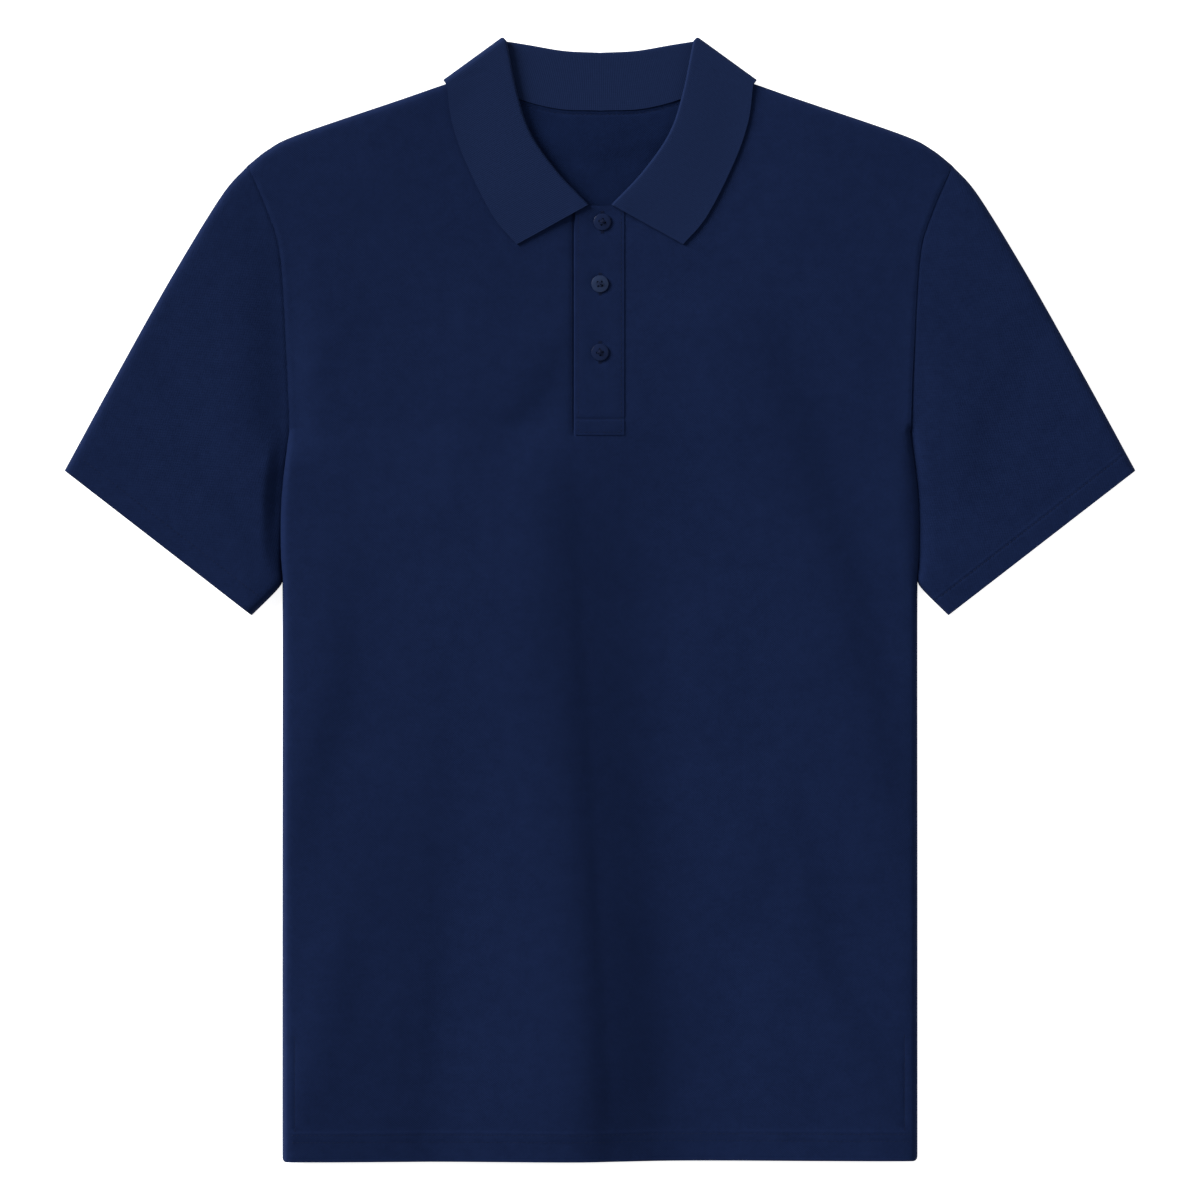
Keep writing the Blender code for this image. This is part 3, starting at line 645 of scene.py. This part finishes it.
def collar_edge(front, apex, back, radius):
    """One lengthwise line of the collar, from the centre front over the shoulder to the centre back."""
    turns = turns_over(apex, radius)
    ahead = np.vstack([level(front, turns[0][2]), turns[:1]])
    behind = np.vstack([turns[-1:], level(back, turns[-1][2])])
    return np.vstack([even(ahead, COLLAR_FRONT_ROWS)[:-1], turns, even(behind, COLLAR_BACK_ROWS)[1:]])


def neck_edge():
    """The collar's sewn edge: it runs beside the two necklines, and turns over inside the shoulder."""
    turns = turns_over(NECK_TURN, STAND_TURN)
    line = shifted(even(NECKLINE, 400), -SEAM)
    start = np.searchsorted(line[:200, 0], 0.0100) / 399
    places = np.round(np.linspace(start, 0.955, COLLAR_FRONT_ROWS - 1) * 399).astype(int)
    behind = curve(BACK_NECKLINE[::-1], np.linspace(0.06, 1, COLLAR_BACK_ROWS - 1)) + (0, SEAM)
    return np.vstack([level(line[places], turns[0][2]), turns, level(behind, turns[-1][2])])


def collar_lines():
    """The collar's three lengthwise lines on one side, with the way that its outside faces."""
    neck = neck_edge()
    roll = collar_edge(ROLL_FRONT, ROLL_PEAK, ROLL_BACK, (LEAF_TURN + STAND_TURN) / 2)
    leaf = collar_edge(LEAF_FRONT, LEAF_SHOULDER, LEAF_BACK, LEAF_TURN)
    angles = np.radians([90] * (COLLAR_FRONT_ROWS - 1) + list(TURN_ANGLES) + [-90] * (COLLAR_BACK_ROWS - 1))
    outward = np.array([(*np.multiply(SHOULDER_FOLD_NORMAL, math.cos(a)), math.sin(a)) for a in angles])
    return neck, roll, leaf, outward


def leaf_on_front(points):
    """Lays the front leaf on the panel under it: rounded by the roll line, flat at its edge."""
    x, y, z = points[..., 0], points[..., 1], points[..., 2]
    rest = front_height(x, y) + placket_room(x) + CLOTH / 2 + COLLAR_CLOTH / 2 + 0.15 * MM
    down = smooth_step(np.linspace(0, 1, z.shape[1]) * 1.15)
    eased = np.maximum(z + (rest - z) * down, rest)
    before_turn = smooth_step((len(z) - 1 - np.arange(len(z))) / 16)[:, None]
    return np.dstack([x, y, z + (eased - z) * before_turn])


def placket_room(x):
    """How far the bands stand above the front, under the leaf."""
    return (LAYER + 0.35 * MM) * (1 - smooth_step((np.abs(x) - BAND_RIGHT - 0.5 * MM) / (4 * MM)))


def make_collar():
    """Stand and leaf in one rib-knit strip, folded over along the roll line in a rounded turn."""
    neck, roll, leaf, outward = collar_lines()
    half_fold = (LEAF_TURN - STAND_TURN) / 2
    away = roll - (neck + leaf) / 2
    away = unit(away - outward * (away * outward).sum(axis=1)[:, None])
    centre = roll - away * half_fold
    stand_end, leaf_start = centre - outward * half_fold, centre + outward * half_fold
    stand = [neck + s * (stand_end - neck) for s in np.linspace(0, 1, 14)[:-1]]
    fold = [
        centre + half_fold * (away * math.cos(a) + outward * math.sin(a))
        for a in np.radians(np.linspace(-90, 90, 13))
    ]
    fall = [leaf_start + s * (leaf - leaf_start) for s in np.linspace(0, 1, 28)[1:]]
    half = np.stack(stand + fold + fall, axis=1)
    first_leaf = len(stand) + len(fold)
    half[:COLLAR_FRONT_ROWS, first_leaf:] = leaf_on_front(half[:COLLAR_FRONT_ROWS, first_leaf:])
    whole = np.concatenate([half, half[-2::-1] * (-1, 1, 1)])
    rows, columns = whole.shape[:2]
    cut = np.dstack(np.meshgrid(lengths_along(whole[:, 30]), lengths_along(whole[40]), indexing="ij"))
    return mesh_piece("collar", whole.reshape(-1, 3), grid_faces(rows, columns), cut=cut.reshape(-1, 2))


BUTTONS = tuple(
    ((low.x + high.x) / 2, (low.y + high.y) / 2) for low, high in (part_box(f"button_{i}") for i in (1, 2, 3))
)


def button_dimples(x, y):
    """The bands are drawn down a little round each button."""
    return -BUTTON_DIMPLE * sum(bump_at(np.hypot(x - bx, y - by), 6.8 * MM) for bx, by in BUTTONS)


def band_settle(x, y):
    """How far the bands sink towards their sewn right side and their end."""
    across, up = np.clip((BAND_RIGHT - x) / 0.030, 0, 1), np.clip((y - BAND_BOTTOM) / 0.014, 0, 1)
    return BAND_SETTLE * (1 - across * up)


def over_band(x, y):
    """The buttonhole band, which rides over the front and settles at its right side and end."""
    side = np.minimum(x - BAND_LEFT, BAND_RIGHT - x)
    end = y - BAND_BOTTOM
    rows = ((side, BAND_SIDE_ROW, 0.3), (end, BAND_END_ROW, 0.4), (end, BAND_CROSS_ROW, 1.6))
    sewn = np.maximum.reduce([share * bump_at(away - row, 0.7 * MM) for away, row, share in rows])
    swell = 0.07 * MM * np.sqrt(np.clip(np.minimum(side, end) / (1.2 * MM), 0, 1))
    return under_band(x, y) + LAYER + swell - 0.28 * MM * sewn


def under_band(x, y):
    return front_height(x, y) - band_settle(x, y) + button_dimples(x, y)


def make_band(name, left, right, bottom, height):
    """A placket band: the front's own points between these edges, at the heights given."""
    columns = np.linspace(left, right, 41)
    line = even(NECKLINE, 200)
    top = np.interp(np.abs(columns), line[:100, 0], line[:100, 1]) - BAND_TOP_GAP
    y = bottom + np.linspace(0, 1, 190)[:, None] * (top - bottom)[None]
    x = np.broadcast_to(columns, y.shape)
    points = np.dstack([x, y, height(x, y)]).reshape(-1, 3)
    return face_up(mesh_piece(name, points, grid_faces(*y.shape), cut=points[:, :2]))


# ---------------------------------------------------------------- shader words


class Wire:
    """A shader socket that adds, takes away and multiplies as numbers do, from either side."""

    def __init__(self, finish, socket):
        self.finish = finish
        self.socket = socket

    def maths(self, operation, other=None, first=None):
        first = self if first is None else first
        return self.finish.node("ShaderNodeMath", {"operation": operation}, {0: first, 1: other})

    def __add__(self, other):
        return self.maths("ADD", other)

    __radd__ = __add__

    def __sub__(self, other):
        return self.maths("SUBTRACT", other)

    def __rsub__(self, other):
        return self.maths("SUBTRACT", self, other)

    def __mul__(self, other):
        return self.maths("MULTIPLY", other)

    __rmul__ = __mul__

    def cosine(self):
        return self.maths("COSINE")

    def at_most(self, other):
        return self.maths("MINIMUM", other)

    def at_least(self, other):
        return self.maths("MAXIMUM", other)


class Finish:
    """One material, with one way to add any node to it."""

    def __init__(self, name):
        self.material = bpy.data.materials.new(name)
        self.material.use_nodes = True
        self.nodes = self.material.node_tree.nodes
        self.links = self.material.node_tree.links
        self.shader = self.nodes["Principled BSDF"]

    def node(self, kind, settings=None, sockets=None, out=0):
        """Adds a node: its settings first, then its sockets' values or links. Gives one of its outputs."""
        made = self.nodes.new(kind)
        for key, value in (settings or {}).items():
            setattr(made, key, value)
        for key, value in (sockets or {}).items():
            self.feed(made.inputs[key], value)
        return Wire(self, made.outputs[out])

    def feed(self, socket, value):
        if isinstance(value, Wire):
            self.links.new(value.socket, socket)
        elif value is not None:
            socket.default_value = value

    def set(self, **values):
        for name, value in values.items():
            self.feed(self.shader.inputs[name.replace("_", " ")], value)

    def cut(self):
        """The place in the flat cut, and how far it is across and along, in metres."""
        place = self.node("ShaderNodeUVMap", {"uv_map": "cut"})
        parts = self.nodes.new("ShaderNodeSeparateXYZ")
        self.feed(parts.inputs[0], place)
        return place, Wire(self, parts.outputs["X"]), Wire(self, parts.outputs["Y"])

    def place(self):
        """The point's place on the object, in metres."""
        return self.node("ShaderNodeTexCoord", out="Object")

    def noise(self, where, scale, detail=2.0, roughness=0.5):
        return self.node(
            "ShaderNodeTexNoise", None,
            {"Vector": where, "Scale": scale, "Detail": detail, "Roughness": roughness},
        )

    def blend(self, factor, first, second):
        return self.node(
            "ShaderNodeMix", {"data_type": "RGBA"},
            {0: factor, 6: (*first, 1) if isinstance(first, tuple) else first,
             7: (*second, 1) if isinstance(second, tuple) else second},
            out=2,
        )

    def bump(self, height, distance, strength=1.0, under=None):
        return self.node(
            "ShaderNodeBump", None,
            {"Height": height, "Distance": distance, "Strength": strength, "Normal": under},
        )


NAVY_LIGHT = (0.0070, 0.0155, 0.0565)
NAVY_DARK = (0.0038, 0.0094, 0.0372)
# Painted shade: darker colours for the knit's wrong side, standing in for the shadow inside the neck
SHADED_INSIDE_LIGHT = (0.0052, 0.0130, 0.0500)
SHADED_INSIDE_DARK = (0.0027, 0.0078, 0.0330)
RIB_NAVY = (0.0055, 0.0125, 0.0450)
RIB_LIGHT = (0.0097, 0.0196, 0.0640)
THREAD_NAVY = (0.0042, 0.0098, 0.0380)
THREAD_DARK = (0.0026, 0.0064, 0.0260)
BUTTON_NAVY = (0.0038, 0.0090, 0.0350)
BUTTON_CLOUD = (0.0070, 0.0150, 0.0520)
# Painted reflection: a lighter copy of the button colours for the middle button, standing in for the light it
# reflects
BUTTON_REFLECTION_NAVY = (0.0110, 0.0200, 0.0540)
BUTTON_REFLECTION_CLOUD = (0.0200, 0.0335, 0.0780)
KNIT_GLOSS = {
    "Sheen_Weight": 0.01, "Sheen_Roughness": 0.45, "Sheen_Tint": (0.45, 0.55, 0.85, 1),
    "Specular_IOR_Level": 0.05,
}
PIQUE_ACROSS = 1.7 * MM
PIQUE_ALONG = 1.45 * MM
RIB_PITCH = 1.25 * MM


def pique_knit(name, dark, light):
    """Cotton pique: small raised cells in staggered rows, yarn by yarn a little lighter or darker."""
    finish = Finish(name)
    place, across, along = finish.cut()
    drift = finish.noise(place, 60, 2) - 0.5
    u = (across + drift * (0.5 * MM)) * (2 * math.pi / PIQUE_ACROSS)
    v = (along + drift * (0.4 * MM)) * (2 * math.pi / PIQUE_ALONG)
    cells = u.cosine() * v.cosine()
    fuzz = finish.noise(place, 2600, 3, 0.7)
    yarn = finish.noise(place, 420, 3, 0.6)
    patches = finish.noise(place, 22, 2) - 0.5
    blotches = finish.noise(place, 110, 3, 0.6) - 0.5
    shade = 0.5 + cells * 0.22 + (yarn - 0.5) * 1.1 + patches * 0.4 + blotches * 0.9
    shade = shade.at_most(1).at_least(0)
    finish.set(Base_Color=finish.blend(shade, dark, light))
    weave = finish.bump(cells, 0.08 * MM, 0.7)
    finish.set(
        Normal=finish.bump(fuzz, 0.10 * MM, 0.5, weave),
        Roughness=(0.86 + (yarn - 0.5) * 0.2).at_most(1),
        **KNIT_GLOSS,
    )
    return finish.material


def rib_knit():
    """Flat-knitted rib: fine wales square to the collar's edge."""
    finish = Finish("rib_knit")
    place, across, along = finish.cut()
    drift = finish.noise(place, 90, 2) - 0.5
    wales = ((across + drift * (0.3 * MM)) * (2 * math.pi / RIB_PITCH)).cosine()
    courses = (along * (2 * math.pi / (0.9 * MM))).cosine()
    yarn = finish.noise(place, 500, 3, 0.6)
    fuzz = finish.noise(place, 2600, 3, 0.7)
    shade = (0.5 + wales * 0.22 + courses * 0.06 + (yarn - 0.5) * 0.8).at_most(1).at_least(0)
    finish.set(Base_Color=finish.blend(shade, RIB_NAVY, RIB_LIGHT))
    ribs = finish.bump(wales + courses * 0.25, 0.05 * MM, 0.7)
    finish.set(
        Normal=finish.bump(fuzz, 0.06 * MM, 0.4, ribs),
        Roughness=(0.84 + (yarn - 0.5) * 0.2).at_most(1),
        **KNIT_GLOSS,
    )
    return finish.material


def sewing_thread():
    """Spun polyester thread, a shade darker than the cloth."""
    finish = Finish("sewing_thread")
    where = finish.place()
    twist = finish.noise(where, 1800, 2)
    finish.set(
        Base_Color=finish.blend(twist, THREAD_DARK, THREAD_NAVY),
        Roughness=(0.5 + twist * 0.25),
        Normal=finish.bump(twist, 0.08 * MM, 0.6),
        Specular_IOR_Level=0.12,
    )
    return finish.material


def button_plastic(name, dark, light):
    """Dyed polyester button: cloudy navy with a satin rim and faint scratches."""
    finish = Finish(name)
    where = finish.place()
    cloud = finish.noise(where, 260, 3)
    scratch = finish.noise(where, 3000, 2, 0.7)
    finish.set(
        Base_Color=finish.blend(cloud, dark, light),
        Roughness=(0.34 + (scratch - 0.5) * 0.16),
        Normal=finish.bump(scratch, 0.02 * MM, 0.4),
        Specular_IOR_Level=0.14,
    )
    return finish.material


# ---------------------------------------------------------------- stitches and buttons

STITCH_LENGTH = 2.3 * MM
STITCH_PITCH = 3.0 * MM
STITCH_WIDTH = 0.42 * MM


def stitch_shape():
    """One stitch: a short capsule lying along X, a primitive drawn out and rounded."""
    deselect()
    bpy.ops.mesh.primitive_uv_sphere_add(segments=6, ring_count=4, radius=1.0)
    ball = bpy.context.object
    bpy.ops.object.mode_set(mode="EDIT")
    bpy.ops.transform.resize(value=(STITCH_LENGTH / 2, STITCH_WIDTH / 2, STITCH_WIDTH / 2))
    bpy.ops.object.mode_set(mode="OBJECT")
    points = np.array([v.co for v in ball.data.vertices])
    faces = [tuple(p.vertices) for p in ball.data.polygons]
    bpy.data.objects.remove(ball, do_unlink=True)
    return points, faces


def stitch_run(line):
    """Places and headings of the stitches along a line of 3-D points."""
    line = np.asarray(line, float)
    along = lengths_along(line)
    count = max(1, int(along[-1] / STITCH_PITCH))
    middles = (np.arange(count) + 0.5) * along[-1] / count
    behind, at, ahead = (
        np.stack([np.interp(middles + off, along, line[:, i]) for i in range(3)], axis=1)
        for off in (-1 * MM, 0, 1 * MM)
    )
    return at, unit(ahead - behind)


def thread_piece(name, points, faces):
    """A smooth piece of sewing thread, from its lists of points and faces."""
    piece = chosen(mesh_piece(name, np.vstack(points), faces))
    bpy.ops.object.shade_smooth()
    deselect()
    return piece


def sew(name, lines):
    """Rows of stitches along these lines, joined into one piece."""
    shape, shape_faces = stitch_shape()
    points, faces = [], []
    for line in lines:
        for at, heading in zip(*stitch_run(line)):
            side = unit(np.cross((0, 0, 1), heading))
            up = np.cross(heading, side)
            start = len(points) * len(shape)
            points.append(at + shape[:, :1] * heading + shape[:, 1:2] * side + shape[:, 2:] * up)
            faces += [tuple(start + i for i in f) for f in shape_faces]
    return thread_piece(name, points, faces)


def on_top(plan, surface):
    """Points on the outside of an upper layer."""
    plan = np.asarray(plan, float)
    return np.column_stack([plan, surface(*plan.T) + CLOTH / 2])


def under_back(plan):
    """Points on the outside of the back layer, just inside its face."""
    plan = np.asarray(plan, float)
    return np.column_stack([plan, back_surface(*plan.T) - CLOTH / 2 + 0.05 * MM])


def straight(start, end, step=2 * MM):
    start, end = np.array(start, float), np.array(end, float)
    count = max(2, int(np.linalg.norm(end - start) / step))
    return start + np.linspace(0, 1, count)[:, None] * (end - start)


def hem_rows():
    """The twin-needle rows of the hem, and the vent's row beside each side."""
    reach, vent = SIDE_X - 1.5 * MM, SIDE_X - VENT_INSET
    plans = [straight((-reach, HEM_Y + up), (reach, HEM_Y + up)) for up in HEM_ROWS]
    plans += [straight((x, HEM_Y + HEM_DEPTH), (x, HEM_Y + VENT_LENGTH)) for x in (-vent, vent)]
    return [row for plan in plans for row in (on_top(plan, front_surface), under_back(plan))]


def cuff_rows(hand):
    along, up = cuff_ways()
    inner, outer = CUFF_INNER + up * CUFF_ROW, CUFF_OUTER + up * CUFF_ROW
    line = straight(inner + along * 3 * MM, outer - along * 5 * MM) * (hand, 1)
    return [on_top(line, sleeve_height), under_back(line)]


def neck_row():
    """The row of stitches inside, below the neck seam."""
    beside, end = BACK_NECKLINE[1], (0.052, 0.3335)
    seam = ((-end[0], end[1]), (-beside[0], beside[1]), BACK_NECKLINE[0], beside, end)
    return on_top(shifted(stepped(seam, 2 * MM), NECK_ROW), back_surface)


def placket_stitches():
    """Rows along the band's two sides, a cross row and the bottom row."""
    top = 0.2590
    left, right = BAND_LEFT + BAND_SIDE_ROW, BAND_RIGHT - BAND_SIDE_ROW
    bottom, cross = BAND_BOTTOM + BAND_END_ROW, BAND_BOTTOM + BAND_CROSS_ROW
    beside = BAND_LEFT - BESIDE_BAND_ROW
    rows = [
        straight((left, bottom), (left, top)),
        straight((right, bottom), (right, top)),
        straight((left, bottom), (right, bottom)),
        straight((left, cross), (right, cross)),
        straight((beside, BAND_BOTTOM + 2 * MM), (beside, 0.2540)),
    ]
    return [on_top(plan, over_band) for plan in rows[:4]] + [on_top(rows[4], front_surface)]


def choose_faces(disc, wanted):
    """Selects the faces of the disc, in edit mode, whose height is wanted."""
    bpy.ops.mesh.select_all(action="DESELECT")
    shape = bmesh.from_edit_mesh(disc.data)
    for face in shape.faces:
        face.select = wanted(face.calc_center_median().z)
    bmesh.update_edit_mesh(disc.data)


def button_blank(name, radius, thickness):
    """A disc with a raised rim, a dished face and four holes, modelled at the origin."""
    deselect()
    middle = (0, 0, thickness / 2)
    bpy.ops.mesh.primitive_cylinder_add(vertices=48, radius=radius, depth=thickness, location=middle)
    disc = bpy.context.object
    disc.name = name
    bpy.ops.object.mode_set(mode="EDIT")
    choose_faces(disc, lambda z: z > thickness - 1e-6)
    for inward, rise in ((0.06, 0.05), (0.12, 0), (0.10, -0.26), (0.14, -0.10), (0.25, 0.06)):
        bpy.ops.mesh.inset(thickness=inward * radius, depth=rise * thickness)
    choose_faces(disc, lambda z: z < 1e-6)
    bpy.ops.mesh.inset(thickness=0.20 * radius, depth=0)
    bpy.ops.object.mode_set(mode="OBJECT")
    bevel = {"width": 0.28 * MM, "segments": 3, "limit_method": "ANGLE", "angle_limit": math.radians(28)}
    apply_modifier(disc, "BEVEL", **bevel)
    drills = []
    for dx in (-HOLE_SPACING, HOLE_SPACING):
        for dy in (-HOLE_SPACING, HOLE_SPACING):
            deselect()
            bpy.ops.mesh.primitive_cylinder_add(
                vertices=20, radius=HOLE_RADIUS, depth=4 * thickness, location=(dx, dy, 0)
            )
            drills.append(bpy.context.object)
    for drill in drills:
        apply_modifier(disc, "BOOLEAN", operation="DIFFERENCE", object=drill)
        bpy.data.objects.remove(drill, do_unlink=True)
    chosen(disc)
    bpy.ops.object.shade_smooth_by_angle(angle=math.radians(35))
    deselect()
    return disc


def spun(x, y, turn):
    """Plan places turned about the origin."""
    cos, sin = math.cos(turn), math.sin(turn)
    return x * cos - y * sin, x * sin + y * cos


def copy_at(model, name, place, turn):
    """A copy with its own mesh, its turn and place in the mesh."""
    piece = linked(name, model.data.copy())
    points = np.array([v.co for v in piece.data.vertices])
    x, y = spun(points[:, 0], points[:, 1], turn)
    moved = np.stack([x + place[0], y + place[1], points[:, 2] + place[2]], axis=1)
    piece.data.vertices.foreach_set("co", moved.ravel())
    piece.data.update()
    return piece


def tube(line, radius, sides):
    """Rings of points round a 3-D line."""
    heading = unit(np.gradient(line, axis=0))
    side = unit(np.cross(heading, (0.13, 0.07, 0.99)))
    up = np.cross(side, heading)
    turns = np.linspace(0, 2 * math.pi, sides, endpoint=False)
    return np.stack([line + radius * (side * math.cos(a) + up * math.sin(a)) for a in turns], axis=1)


def thread_runs(name, runs, radius, sides):
    """Lengths of thread along these lines, joined into one piece."""
    points, faces, total = [], [], 0
    for run in runs:
        ring = tube(run, radius, sides)
        rows, columns = ring.shape[:2]
        faces += [tuple(f + total) for f in grid_faces(rows, columns, closed=True)]
        points.append(ring.reshape(-1, 3))
        total += rows * columns
    return thread_piece(name, points, faces)


def button_thread(name, place, turn, thickness):
    """Two crossed bundles of thread through the four holes, down to the band."""
    strands = (-0.28 * MM, 0.0, 0.28 * MM)
    runs = []
    for corner in (1, -1):
        start = np.array([-HOLE_SPACING, -HOLE_SPACING * corner])
        end = -start
        side = unit(np.array([start[1] - end[1], end[0] - start[0]]))
        for offset in strands:
            share = np.linspace(0, 1, 15)
            plan = start + share[:, None] * (end - start) + side * offset
            hump = thickness * 0.72 + 0.55 * MM * np.sin(np.pi * share) + 0.10 * MM * (corner + 1)
            hump[0] = hump[-1] = -0.2 * MM
            x, y = spun(plan[:, 0], plan[:, 1], turn)
            runs.append(np.stack([x + place[0], y + place[1], hump + place[2]], axis=1))
    return thread_runs(name, runs, 0.17 * MM, 7)


def buttonhole(name, place):
    """A vertical buttonhole, its two sides and ends whipped close with thread."""
    half, across = 6.9 * MM, 1.1 * MM
    lines = []
    for y in np.arange(-half, half, 0.42 * MM):
        for hand in (-1, 1):
            start, end = (hand * 0.25 * MM, y), (hand * across, y)
            lines.append(straight(np.add(place, start), np.add(place, end), 0.3 * MM))
    for end in (-half, half):
        for y in (end - 0.5 * MM, end, end + 0.5 * MM):
            lines.append(straight(np.add(place, (-across, y)), np.add(place, (across, y)), 0.3 * MM))
    rows = np.split(on_top(np.vstack(lines), over_band), np.cumsum([len(line) for line in lines])[:-1])
    return thread_runs(name, rows, 0.23 * MM, 5)


# ---------------------------------------------------------------- the shirt


def dress(piece, finish, node=None):
    """Gives a piece its finish, and lets it ride and, where it has one, stand for its CAD node."""
    piece.data.materials.append(finish)
    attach(piece, BODY)
    if node:
        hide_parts(node)
    return piece


def dress_sheet(piece, thickness, finish):
    """Gives a sheet its wall and finish. It stands for the CAD node of its name, less Blender's number."""
    return dress(add_wall(piece, thickness), finish, piece.name.partition(".")[0])


def paint_inside_shade(piece, finish, way):
    """Puts painted shade on the knit's wrong side: a darker finish on the faces that look up (way 1) or down
    (way -1).
    """
    piece.data.materials.append(finish)
    for face in piece.data.polygons:
        if face.normal.z * way > 0.3:
            face.material_index = 1
    return piece


def make_shirt():
    pique = pique_knit("pique_knit", NAVY_DARK, NAVY_LIGHT)
    # The inside finish is painted shade: the wrong side drawn darker than the outside
    inside = pique_knit("pique_knit_painted_shade", SHADED_INSIDE_DARK, SHADED_INSIDE_LIGHT)
    rib, thread = rib_knit(), sewing_thread()
    plastic = button_plastic("button_plastic", BUTTON_NAVY, BUTTON_CLOUD)
    # The same plastic made lighter, as a painted reflection
    reflection_plastic = button_plastic("button_plastic_pale", BUTTON_REFLECTION_NAVY, BUTTON_REFLECTION_CLOUD)
    # The wrong sides of front and back get the painted shade
    front = paint_inside_shade(dress_sheet(make_front(), CLOTH, pique), inside, -1)
    back = paint_inside_shade(dress_sheet(make_back(), CLOTH, pique), inside, 1)
    left = dress_sheet(make_sleeve("sleeve_left", 1), CLOTH, pique)
    right = dress_sheet(make_sleeve("sleeve_right", -1), CLOTH, pique)
    collar = dress_sheet(make_collar(), COLLAR_CLOTH, rib)
    over = make_band("placket_top", BAND_LEFT, BAND_RIGHT, BAND_BOTTOM, over_band)
    over = dress_sheet(over, CLOTH, pique)
    under = make_band("placket_under", -UNDER_HALF, UNDER_HALF, SLOT_BOTTOM + 0.3 * MM, under_band)
    under = dress_sheet(under, CLOTH, pique)

    stitches = {
        "hem_stitches": hem_rows(), "cuff_stitches_left": cuff_rows(1), "cuff_stitches_right": cuff_rows(-1),
        "placket_stitches": placket_stitches(), "neck_stitches": [neck_row()],
    }
    hem, *cuffs, placket, neck = (
        dress(sew(name, rows), thread) for name, rows in stitches.items()
    )

    low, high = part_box("button_1")
    radius, thickness = (high.x - low.x) / 2, high.z - low.z - 0.2 * MM
    blank = button_blank("button_blank", radius, thickness)
    for number, turn in ((1, 0.5), (2, 0.1), (3, 0.9)):
        x, y = BUTTONS[number - 1]
        place = (x, y, float(over_band(np.array([x]), np.array([y]))[0]) + CLOTH / 2 + BUTTON_LIFT)
        button = copy_at(blank, f"button_{number}", place, turn)
        # The middle button takes the lighter finish: a painted reflection
        dress(button, reflection_plastic if number == 2 else plastic, f"button_{number}")
        sewn = button_thread(f"button_thread_{number}", place, turn, thickness)
        dress(sewn, thread)
        dress(buttonhole(f"buttonhole_{number}", place[:2]), thread)
    bpy.data.objects.remove(blank, do_unlink=True)


# ---------------------------------------------------------------- room, light and camera


def make_floor():
    deselect()
    bpy.ops.mesh.primitive_plane_add(size=6)
    floor = bpy.context.object
    floor.name = "floor"
    paper = Finish("white_paper")
    grain = paper.noise(paper.place(), 40, 3)
    paper.set(Base_Color=paper.blend(grain, (0.88, 0.88, 0.88), (0.90, 0.90, 0.90)), Roughness=0.9,
              Emission_Color=(1, 1, 1, 1), Emission_Strength=0.80)
    floor.data.materials.append(paper.material)


def soft_sun(name, towards, elevation, strength, spread):
    """A large distant softbox, off in the plan direction given and this many degrees above the floor."""
    light = bpy.data.lights.new(name, "SUN")
    light.energy = strength
    light.angle = math.radians(spread)
    lift = math.radians(elevation)
    off = Vector((*towards, 0)).normalized() * math.cos(lift) + Vector((0, 0, math.sin(lift)))
    linked(name, light).rotation_euler = off.to_track_quat("Z", "Y").to_euler()


def make_light():
    soft_sun("key", (-0.86, 0.51), 23, 5.4, 32)
    soft_sun("fill", (0.9, 0.2), 30, 0.5, 40)
    world = bpy.data.worlds.new("studio")
    world.use_nodes = True
    for socket, value in (("Color", (1, 1, 1, 1)), ("Strength", 0.30)):
        world.node_tree.nodes["Background"].inputs[socket].default_value = value
    bpy.context.scene.world = world
    bpy.context.scene.view_settings.view_transform = "Standard"


FRAME_WIDTH = 0.8022
LENS = 135.0
SENSOR = 36.0


def make_camera():
    """Straight above the shirt, with a long lens."""
    camera = bpy.data.cameras.new("camera")
    camera.lens = LENS
    camera.sensor_width = SENSOR
    camera.clip_end = 50
    shot = linked("camera", camera)
    shot.location = (0, -0.0007, FRAME_WIDTH * LENS / SENSOR + 0.006)
    bpy.context.scene.camera = shot


make_camera()
make_shirt()
make_floor()
make_light()
